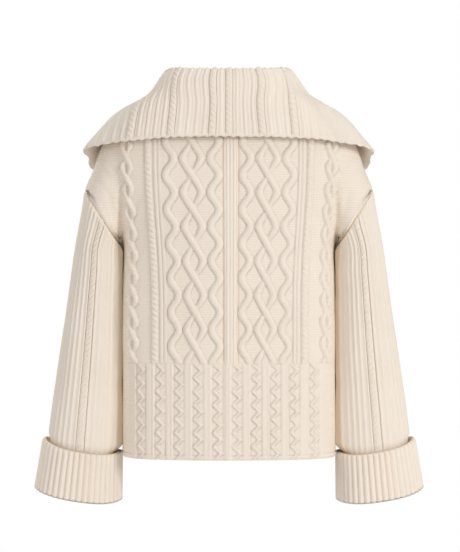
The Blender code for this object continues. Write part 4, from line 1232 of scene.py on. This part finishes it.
def zip_tape(name, hand, material):
    """A woven tape along the slit and up the collar's front edge."""
    sewn, free, facing = TAPE
    shares = np.concatenate([np.linspace(0, 1, 7), np.linspace(1, 0, 7)])
    ring = []
    for i, share in enumerate(shares):
        swell = 0.5 * TAPE_THICK + 0.35 * bell(share - 0.93, 0.06) if i >= 7 else -0.5 * TAPE_THICK
        ring.append(sewn + share * (free - sewn) + swell * facing)
    points = np.array(ring).transpose(1, 0, 2) * (hand, 1, 1)
    rows, columns = points.shape[:2]
    faces = quads(rows, columns, round_it=True).tolist()
    faces.append(list(range(columns)))
    faces.append(list(range((rows - 1) * columns, rows * columns))[::-1])
    mesh = mesh_of(name, points, faces)
    across = np.broadcast_to(TAPE_WIDE * shares, (rows, columns))
    write_facts(mesh, {"across": across, "along": path_length(points)})
    mended(mesh)
    softened(mesh, 50)
    return placed(name, mesh, material)


def zip_teeth(name, hand, material):
    """Teeth clamped on the tape's free edge, every one a small tapered block."""
    along = path_length(TAPE[1])
    wide, tall, deep = TOOTH
    start = TOOTH_PITCH * (0.75 if hand > 0 else 1.25)
    points, faces = [], []
    for at in np.arange(start, along[-1] - 2, TOOTH_PITCH):
        (root, here, _), (_, next_place, _) = (
            [np.array([np.interp(at + step, along, line[:, k]) for k in range(3)]) for line in TAPE]
            for step in (0, 1)
        )
        ahead = unit(next_place - here)
        across = here - root
        across = unit(across - ahead * (across @ ahead))
        normal = np.cross(across, ahead)
        faces += bar_faces(len(points), 3)
        for a, taper in ((-0.62, 1.0), (0.2, 1.0), (0.42, 0.72)):
            for u, v in ((-0.5, -0.5), (0.5, -0.5), (0.5, 0.5), (-0.5, 0.5)):
                beside = taper * (u * tall * ahead + v * deep * normal)
                points.append(here + a * wide * across + beside)
    mesh = mesh_of(name, np.array(points) * (hand, 1, 1), faces)
    mended(mesh)
    return placed(name, mesh, material)


def plate(name, outline, holes, thick, bevel, material, centre):
    """A flat metal plate cut to an outline in x and z, with softened edges, at y = centre."""
    shape = bpy.data.curves.new(name, "CURVE")
    shape.dimensions = "2D"
    shape.fill_mode = "BOTH"
    shape.extrude = (thick / 2 - bevel) * MM
    shape.bevel_depth = bevel * MM
    shape.bevel_resolution = 2
    for loop in [outline, *holes]:
        spline = shape.splines.new("POLY")
        spline.points.add(len(loop) - 1)
        spline.use_cyclic_u = True
        for point, (x, z) in zip(spline.points, loop):
            point.co = (x * MM, z * MM, 0, 1)
    drawn = bpy.data.objects.new(name + "_outline", shape)
    bpy.context.scene.collection.objects.link(drawn)
    mesh = final_mesh(drawn)
    x, z, y = read(mesh.vertices, "co", 3).T
    mesh.vertices.foreach_set("co", np.stack([x, -y + centre * MM, z], -1).ravel())
    mesh.materials.clear()
    mended(mesh, merge=True)
    mesh.name = name
    softened(mesh, 40)
    return placed(name, mesh, material)


def rounded_outline(half_top, half_foot, top, foot, radius):
    """A plate's outline, wider or narrower at its foot, with round corners."""
    corners = ((half_top, top), (-half_top, top), (-half_foot, foot), (half_foot, foot))
    loop = []
    for corner, (x, z) in enumerate(corners):
        cx = x - math.copysign(radius, x)
        cz = z - radius if z == top else z + radius
        for angle in np.linspace(corner, corner + 1, 7) * math.pi / 2:
            loop.append((cx + radius * math.cos(angle), cz + radius * math.sin(angle)))
    return loop


def joined(name, items):
    """Several metal parts of one piece as a single object."""
    mesh = bpy.data.meshes.new(name)
    work = bmesh.new()
    for item in items:
        work.from_mesh(item.data)
    work.to_mesh(mesh)
    work.free()
    material = items[0].data.materials[0]
    for item in items:
        bpy.data.objects.remove(item)
    softened(mesh, 40)
    return placed(name, mesh, material)


def zip_slider(name, material):
    """A slider: a shield-shaped front plate over the teeth, and the bridge that holds the pull."""
    face = -float(depth(np.array(0.0), SLIDER_Z, -1)) - SLIDER_OFF
    front = face - SLIDER_DEEP
    outline = rounded_outline(4.5, 3.1, SLIDER_Z + 6.0, SLIDER_Z - 6.0, 1.4)
    body = plate("slider_plate", outline, [], SLIDER_DEEP, 0.55, material, (face + front) / 2)
    # The bridge is a flat strip bent into an arch.
    half_arch = [(4.4, 0.5), (4.4, -1.6), (3.6, -3.6), (1.6, -4.45)]
    arch = np.array([(-z, y) for z, y in half_arch] + half_arch[::-1])
    ways = unit(np.concatenate([arch[1:], arch[-1:]]) - np.concatenate([arch[:1], arch[:-1]]))
    points = []
    for (z, y), way in zip(arch, ways):
        for x, s in ((-1.0, -1), (1.0, -1), (1.0, 1), (-1.0, 1)):
            points.append((x, front + y - s * 0.55 * way[0], SLIDER_Z + z + s * 0.55 * way[1]))
    bridge = placed("bridge", mesh_of("bridge", points, bar_faces(0, len(arch))), material)
    soften = bridge.modifiers.new("soften", "BEVEL")
    soften.width = 0.25 * MM
    soften.segments = 2
    bridge = placed("bridge", final_mesh(bridge), material)
    mended(bridge.data)
    return joined(name, [body, bridge])


def zip_pull(name, material):
    """A flat tab, narrower at its waist, hung by a window at its top."""
    low, high = (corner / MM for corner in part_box("zip_pull"))
    y = (low.y + high.y) / 2
    top, foot = high.z, low.z
    half = (high.x - low.x) / 2
    window = rounded_outline(1.8, 1.8, top - 1.5, top - 8.4, 0.7)
    slot = rounded_outline(1.1, 1.1, top - 22.5, top - 26.5, 1.05)
    outline = rounded_outline(half, half, top, foot, 1.3)
    shaped = [(x * (1 - 0.2 * bell((z - top + 13) / 7, 1.0)), z) for x, z in dense(outline)]
    return plate(name, shaped, [window, slot], high.y - low.y, 0.35, material, y)


def dense(loop, step=1.2):
    """The loop with extra points on its long sides."""
    points = []
    for (x0, z0), (x1, z1) in zip(loop, loop[1:] + loop[:1]):
        count = max(1, int(math.hypot(x1 - x0, z1 - z0) / step))
        points += [(x0 + (x1 - x0) * k / count, z0 + (z1 - z0) * k / count) for k in range(count)]
    return points


# ---------------------------------------------------------------- finishes


def group_of(name, inputs, outputs):
    """An empty shader group of numbers, with inputs (and their usual values) and outputs."""
    group = bpy.data.node_groups.new(name, "ShaderNodeTree")
    for label, value in inputs.items():
        socket = group.interface.new_socket(label, in_out="INPUT", socket_type="NodeSocketFloat")
        socket.default_value = value
    for label in outputs:
        group.interface.new_socket(label, in_out="OUTPUT", socket_type="NodeSocketFloat")
    return group


class Wiring:
    """Short words for adding nodes and joining them."""

    def __init__(self, tree):
        self.tree = tree

    def fill(self, node, **values):
        """Sets or links the node's inputs; an underscore in a label stands for a space."""
        for label, value in values.items():
            self.put(node.inputs[label.replace("_", " ")], value)
        return node

    def bump(self, strength, distance, height, **values):
        node = self.fill(self.node("ShaderNodeBump"), Strength=strength, Height=height, **values)
        return self.fill(node, Distance=distance * MM).outputs[0]

    def group(self, tree, **values):
        node = self.node("ShaderNodeGroup")
        node.node_tree = tree
        return self.fill(node, **values).outputs

    def node(self, kind, **settings):
        node = self.tree.nodes.new(kind)
        for key, value in settings.items():
            setattr(node, key, value)
        return node

    def put(self, socket, value):
        if isinstance(value, bpy.types.NodeSocket):
            self.tree.links.new(value, socket)
        else:
            socket.default_value = value

    def math(self, operation, *values):
        node = self.node("ShaderNodeMath", operation=operation)
        for socket, value in zip(node.inputs, values):
            self.put(socket, value)
        return node.outputs[0]

    def ramp(self, value, low, high, to_low=0.0, to_high=1.0, smooth=True):
        node = self.node("ShaderNodeMapRange")
        if smooth:
            node.interpolation_type = "SMOOTHSTEP"
        for socket, number in zip(node.inputs, (value, low, high, to_low, to_high)):
            self.put(socket, number)
        return node.outputs[0]

    def mix(self, share, one, other):
        node = self.node("ShaderNodeMix", data_type="RGBA")
        for socket, value in ((0, share), (6, one), (7, other)):
            self.put(node.inputs[socket], value)
        return node.outputs[2]

    def noise(self, vector, scale, detail=2.0, rough=0.5):
        node = self.fill(self.node("ShaderNodeTexNoise"), Vector=vector, Scale=scale)
        return self.fill(node, Detail=detail, Roughness=rough).outputs["Fac"]

    def fact(self, name):
        return self.node("ShaderNodeAttribute", attribute_name=name).outputs["Fac"]


def stitches_group():
    """Knit and purl stitches: across and along the cloth in mm, and how much of it is purl."""
    group = group_of(
        "knit stitches",
        {"across": 0.0, "along": 0.0, "purl": 0.0, "wale": 4.2, "course": 3.2},
        ["height"],
    )
    wire = Wiring(group)
    given = wire.node("NodeGroupInput").outputs
    do = wire.math

    def ripple(value, size, middle):
        """A wave with one crest for every whole number."""
        return do("MULTIPLY_ADD", do("COSINE", do("MULTIPLY", value, math.tau)), size, middle)

    wale = do("DIVIDE", given["across"], given["wale"])
    place = do("SUBTRACT", do("FRACT", do("ADD", wale, 0.5)), 0.5)
    beside = do("ABSOLUTE", place)
    course = do("DIVIDE", given["along"], given["course"])
    legs = ripple(do("MULTIPLY_ADD", beside, 1.3, course), 0.5, 0.5)
    valley = do("ABSOLUTE", do("SINE", do("MULTIPLY", place, math.tau)))
    knit = do("MULTIPLY_ADD", do("POWER", valley, 0.6), 0.55, do("MULTIPLY", legs, 0.45))
    rows = ripple(ripple(wale, 0.14, course), 0.5, 0.5)
    purl = do("MULTIPLY", do("POWER", rows, 0.7), 0.8)
    height = do("MULTIPLY_ADD", do("SUBTRACT", purl, knit), given["purl"], knit)
    wire.fill(wire.node("NodeGroupOutput"), height=height)
    return group


def fuzz_group():
    """Soft fibres of wool: a fine height, and a tone that wanders from place to place."""
    group = group_of("wool fuzz", {"size": 1.0}, ["height", "tone"])
    wire = Wiring(group)
    size = wire.node("NodeGroupInput").outputs["size"]
    place = wire.node("ShaderNodeTexCoord").outputs["Object"]
    scaling = wire.node("ShaderNodeVectorMath", operation="SCALE")
    scaled = wire.fill(scaling, Vector=place, Scale=size).outputs[0]
    fine = wire.noise(scaled, 1400.0, 3.0, 0.65)
    hairs = wire.noise(scaled, 420.0, 2.0, 0.6)
    both = wire.math("MULTIPLY_ADD", fine, 0.6, wire.math("MULTIPLY", hairs, 0.4))
    broad = wire.noise(scaled, 14.0, 2.0, 0.5)
    tone = wire.math("MULTIPLY_ADD", broad, 0.6, wire.math("MULTIPLY", fine, 0.4))
    wire.fill(wire.node("NodeGroupOutput"), height=both, tone=tone)
    return group


LIGHT_WOOL = (0.945, 0.86, 0.765, 1.0)
# Painted shade: the colour that the knit's low places take.
SHADED_WOOL = (0.80, 0.655, 0.49, 1.0)
# Painted shade: the brown of crevices where cloth lies against cloth.
CONTACT_SHADE_WOOL = (0.50, 0.36, 0.24, 1.0)
STITCHES = stitches_group()
FUZZ = fuzz_group()


def new_finish(name, rough):
    """A new material, its wiring and its shader."""
    material = bpy.data.materials.new(name)
    material.use_nodes = True
    shader = material.node_tree.nodes["Principled BSDF"]
    shader.inputs["Roughness"].default_value = rough
    return material, Wiring(material.node_tree), shader


def wool_finish(name, stitch_depth, wale, course):
    """Soft matt wool, with painted shade: lighter on raised strands, warmer and darker down in the
    knit.
    """
    material, wire, shader = new_finish(name, 0.92)
    facts = {fact: wire.fact(fact) for fact in ("across", "along", "purl")}
    stitches = wire.group(STITCHES, wale=wale, course=course, **facts)["height"]
    fuzz = wire.group(FUZZ, size=1.0)
    # Painted shade: low places of the relief and of the stitches take the shaded colour.
    raised = wire.ramp(wire.fact("relief"), -1.3, 0.0)
    stitch_shade = wire.ramp(stitches, 0.05, 0.7)
    lit = wire.math("MULTIPLY_ADD", stitch_shade, 0.22, wire.math("MULTIPLY", raised, 0.78))
    tone = wire.ramp(fuzz["tone"], 0.3, 0.7, -0.10, 0.10, smooth=False)
    share = wire.math("ADD", lit, tone)
    # Painted shade: where cloth lies against cloth, the crevice is drawn browner.
    contact_shade = wire.ramp(wire.fact("relief"), -5.0, -1.4, 1.0, 0.0)
    colour = wire.mix(share, wire.mix(contact_shade, SHADED_WOOL, CONTACT_SHADE_WOOL), LIGHT_WOOL)
    fine = wire.bump(0.35, 0.35, fuzz["height"])
    wire.fill(
        shader,
        Base_Color=colour,
        Specular_IOR_Level=0.18,
        Sheen_Weight=0.16,
        Sheen_Roughness=0.55,
        Sheen_Tint=(1.0, 0.97, 0.92, 1.0),
        Normal=wire.bump(0.6, stitch_depth, stitches, Normal=fine),
    )
    return material


def tape_finish(name):
    """Woven tape: a close herringbone in matt cotton."""
    material, wire, shader = new_finish(name, 0.8)
    facts = {fact: wire.fact(fact) for fact in ("across", "along")}
    stitches = wire.group(STITCHES, purl=0.0, wale=1.5, course=0.9, **facts)["height"]
    tone = wire.ramp(wire.group(FUZZ, size=1.6)["tone"], 0.3, 0.7, -0.1, 0.1)
    share = wire.math("ADD", stitches, tone)
    # Painted shade: the tape is darker down in the weave's hollows, with a wandering tone besides.
    colour = wire.mix(share, (0.60, 0.52, 0.41, 1), (0.80, 0.73, 0.62, 1))
    wire.fill(shader, Base_Color=colour, Normal=wire.bump(0.5, 0.15, stitches))
    return material


def metal_finish(name, colour, rough):
    """Plated zip metal, with faint marks of handling."""
    material, wire, shader = new_finish(name, rough)
    worn = wire.ramp(wire.group(FUZZ, size=0.9)["tone"], 0.35, 0.65)
    darker = [0.78 * c for c in colour]
    wire.fill(
        shader,
        Base_Color=wire.mix(worn, (*darker, 1), (*colour, 1)),
        Roughness=wire.ramp(worn, 0.0, 1.0, rough * 1.35, rough * 0.85),
        Metallic=1.0,
    )
    return material


# ---------------------------------------------------------------- studio

AIR_LIGHT = 0.54
FLOOR_Z = -0.95
LIGHTS = table(
    "name place size watts colour",
    ("key", (-2.2, 2.4, 0.45), 1.2, 42.0, (1.0, 0.985, 0.965)),
    ("fill", (2.4, 2.6, 0.3), 2.2, 14.0, (0.97, 0.98, 1.0)),
    ("front_key", (1.9, -2.6, 1.2), 1.8, 30.0, (1.0, 0.985, 0.96)),
    ("overhead", (0.0, 0.3, 2.6), 2.0, 8.0, (1.0, 1.0, 1.0)),
)
LIT_POINT = Vector((0, 0, -0.3))
CAMERA_PLACE = (-0.0016, 3.0, -0.304)
FOCAL_LENGTH = 118.58


def studio():
    """A white studio: pale floor, broad soft lights, and a level camera behind the garment."""
    scene = bpy.context.scene
    scene.view_settings.view_transform = "Standard"
    world = bpy.data.worlds.new("studio air")
    scene.world = world
    world.use_nodes = True
    wire = Wiring(world.node_tree)
    air = world.node_tree.nodes["Background"]
    seen = wire.node("ShaderNodeLightPath").outputs["Is Camera Ray"]
    wire.put(air.inputs["Color"], wire.mix(seen, (1.0, 0.975, 0.945, 1), (1, 1, 1, 1)))
    wire.put(air.inputs["Strength"], wire.ramp(seen, 0.0, 1.0, AIR_LIGHT, 1.0, smooth=False))
    floor_mesh = bpy.data.meshes.new("studio_floor")
    work = bmesh.new()
    bmesh.ops.create_circle(work, cap_ends=True, radius=1.1, segments=96)
    bmesh.ops.translate(work, vec=(0, 0, FLOOR_Z), verts=work.verts)
    work.to_mesh(floor_mesh)
    work.free()
    pale, floor_wire, shader = new_finish("pale floor", 0.9)
    floor_wire.fill(shader, Base_Color=(0.9, 0.9, 0.9, 1))
    placed("studio_floor", floor_mesh, pale)
    for name, place, size, watts, colour in LIGHTS:
        light = bpy.data.lights.new(name, "AREA")
        light.shape = "DISK"
        light.size = size
        light.energy = watts
        light.color = colour
        item = bpy.data.objects.new(name, light)
        item.location = place
        item.rotation_euler = (LIT_POINT - Vector(place)).to_track_quat("-Z", "Y").to_euler()
        scene.collection.objects.link(item)
    lens = bpy.data.cameras.new("camera")
    lens.sensor_fit = "VERTICAL"
    lens.sensor_height = 36.0
    lens.lens = FOCAL_LENGTH
    camera = bpy.data.objects.new("camera", lens)
    camera.location = CAMERA_PLACE
    camera.rotation_euler = (math.pi / 2, 0, math.pi)
    scene.collection.objects.link(camera)
    scene.camera = camera


# ---------------------------------------------------------------- assembly

Cloth = namedtuple("Cloth", "flat area held rests_on")


def dress(piece, node):
    """Hangs a cloth piece on the garment and hides the solid it stands for."""
    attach(piece, "garment")
    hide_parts(node)


def fit_metal(piece, body, node=None):
    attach(piece, body)
    if node:
        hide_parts(node)


def build():
    wool = wool_finish("cream wool", 1.0, 4.6, 4.0)
    ribbed = wool_finish("ribbed cream wool", 0.7, 3.8, 3.4)
    woven = tape_finish("woven zip tape")
    metal = metal_finish("plated zip metal", (0.78, 0.76, 0.72), 0.28)
    dress(body_panel("knit_back", 1, 1.55, 273, wool), "back")
    dress(body_panel("knit_front", -1, 1.9, 221, wool), "front")
    dress(hem_band("band_back", 1, 317, 105, wool), "back_hem_band")
    dress(hem_band("band_front", -1, 293, 97, wool), "front_hem_band")
    dress(collar("ribbed_collar", 105, ribbed), "collar")
    for hand, name in ((1, "left"), (-1, "right")):
        dress(sleeve(f"ribbed_sleeve_{name}", hand, 193, ribbed), f"sleeve_{name}")
        dress(cuff(f"turned_cuff_{name}", hand, ribbed), f"cuff_{name}")
        dress(zip_tape(f"woven_tape_{name}", hand, woven), f"zip_tape_{name}")
        fit_metal(zip_teeth(f"zip_teeth_{name}", hand, metal), "garment")
    fit_metal(zip_slider("slider_with_bridge", metal), "garment", "zip_slider")
    fit_metal(zip_pull("pull_tab", metal), "pull", "zip_pull")


build()
studio()
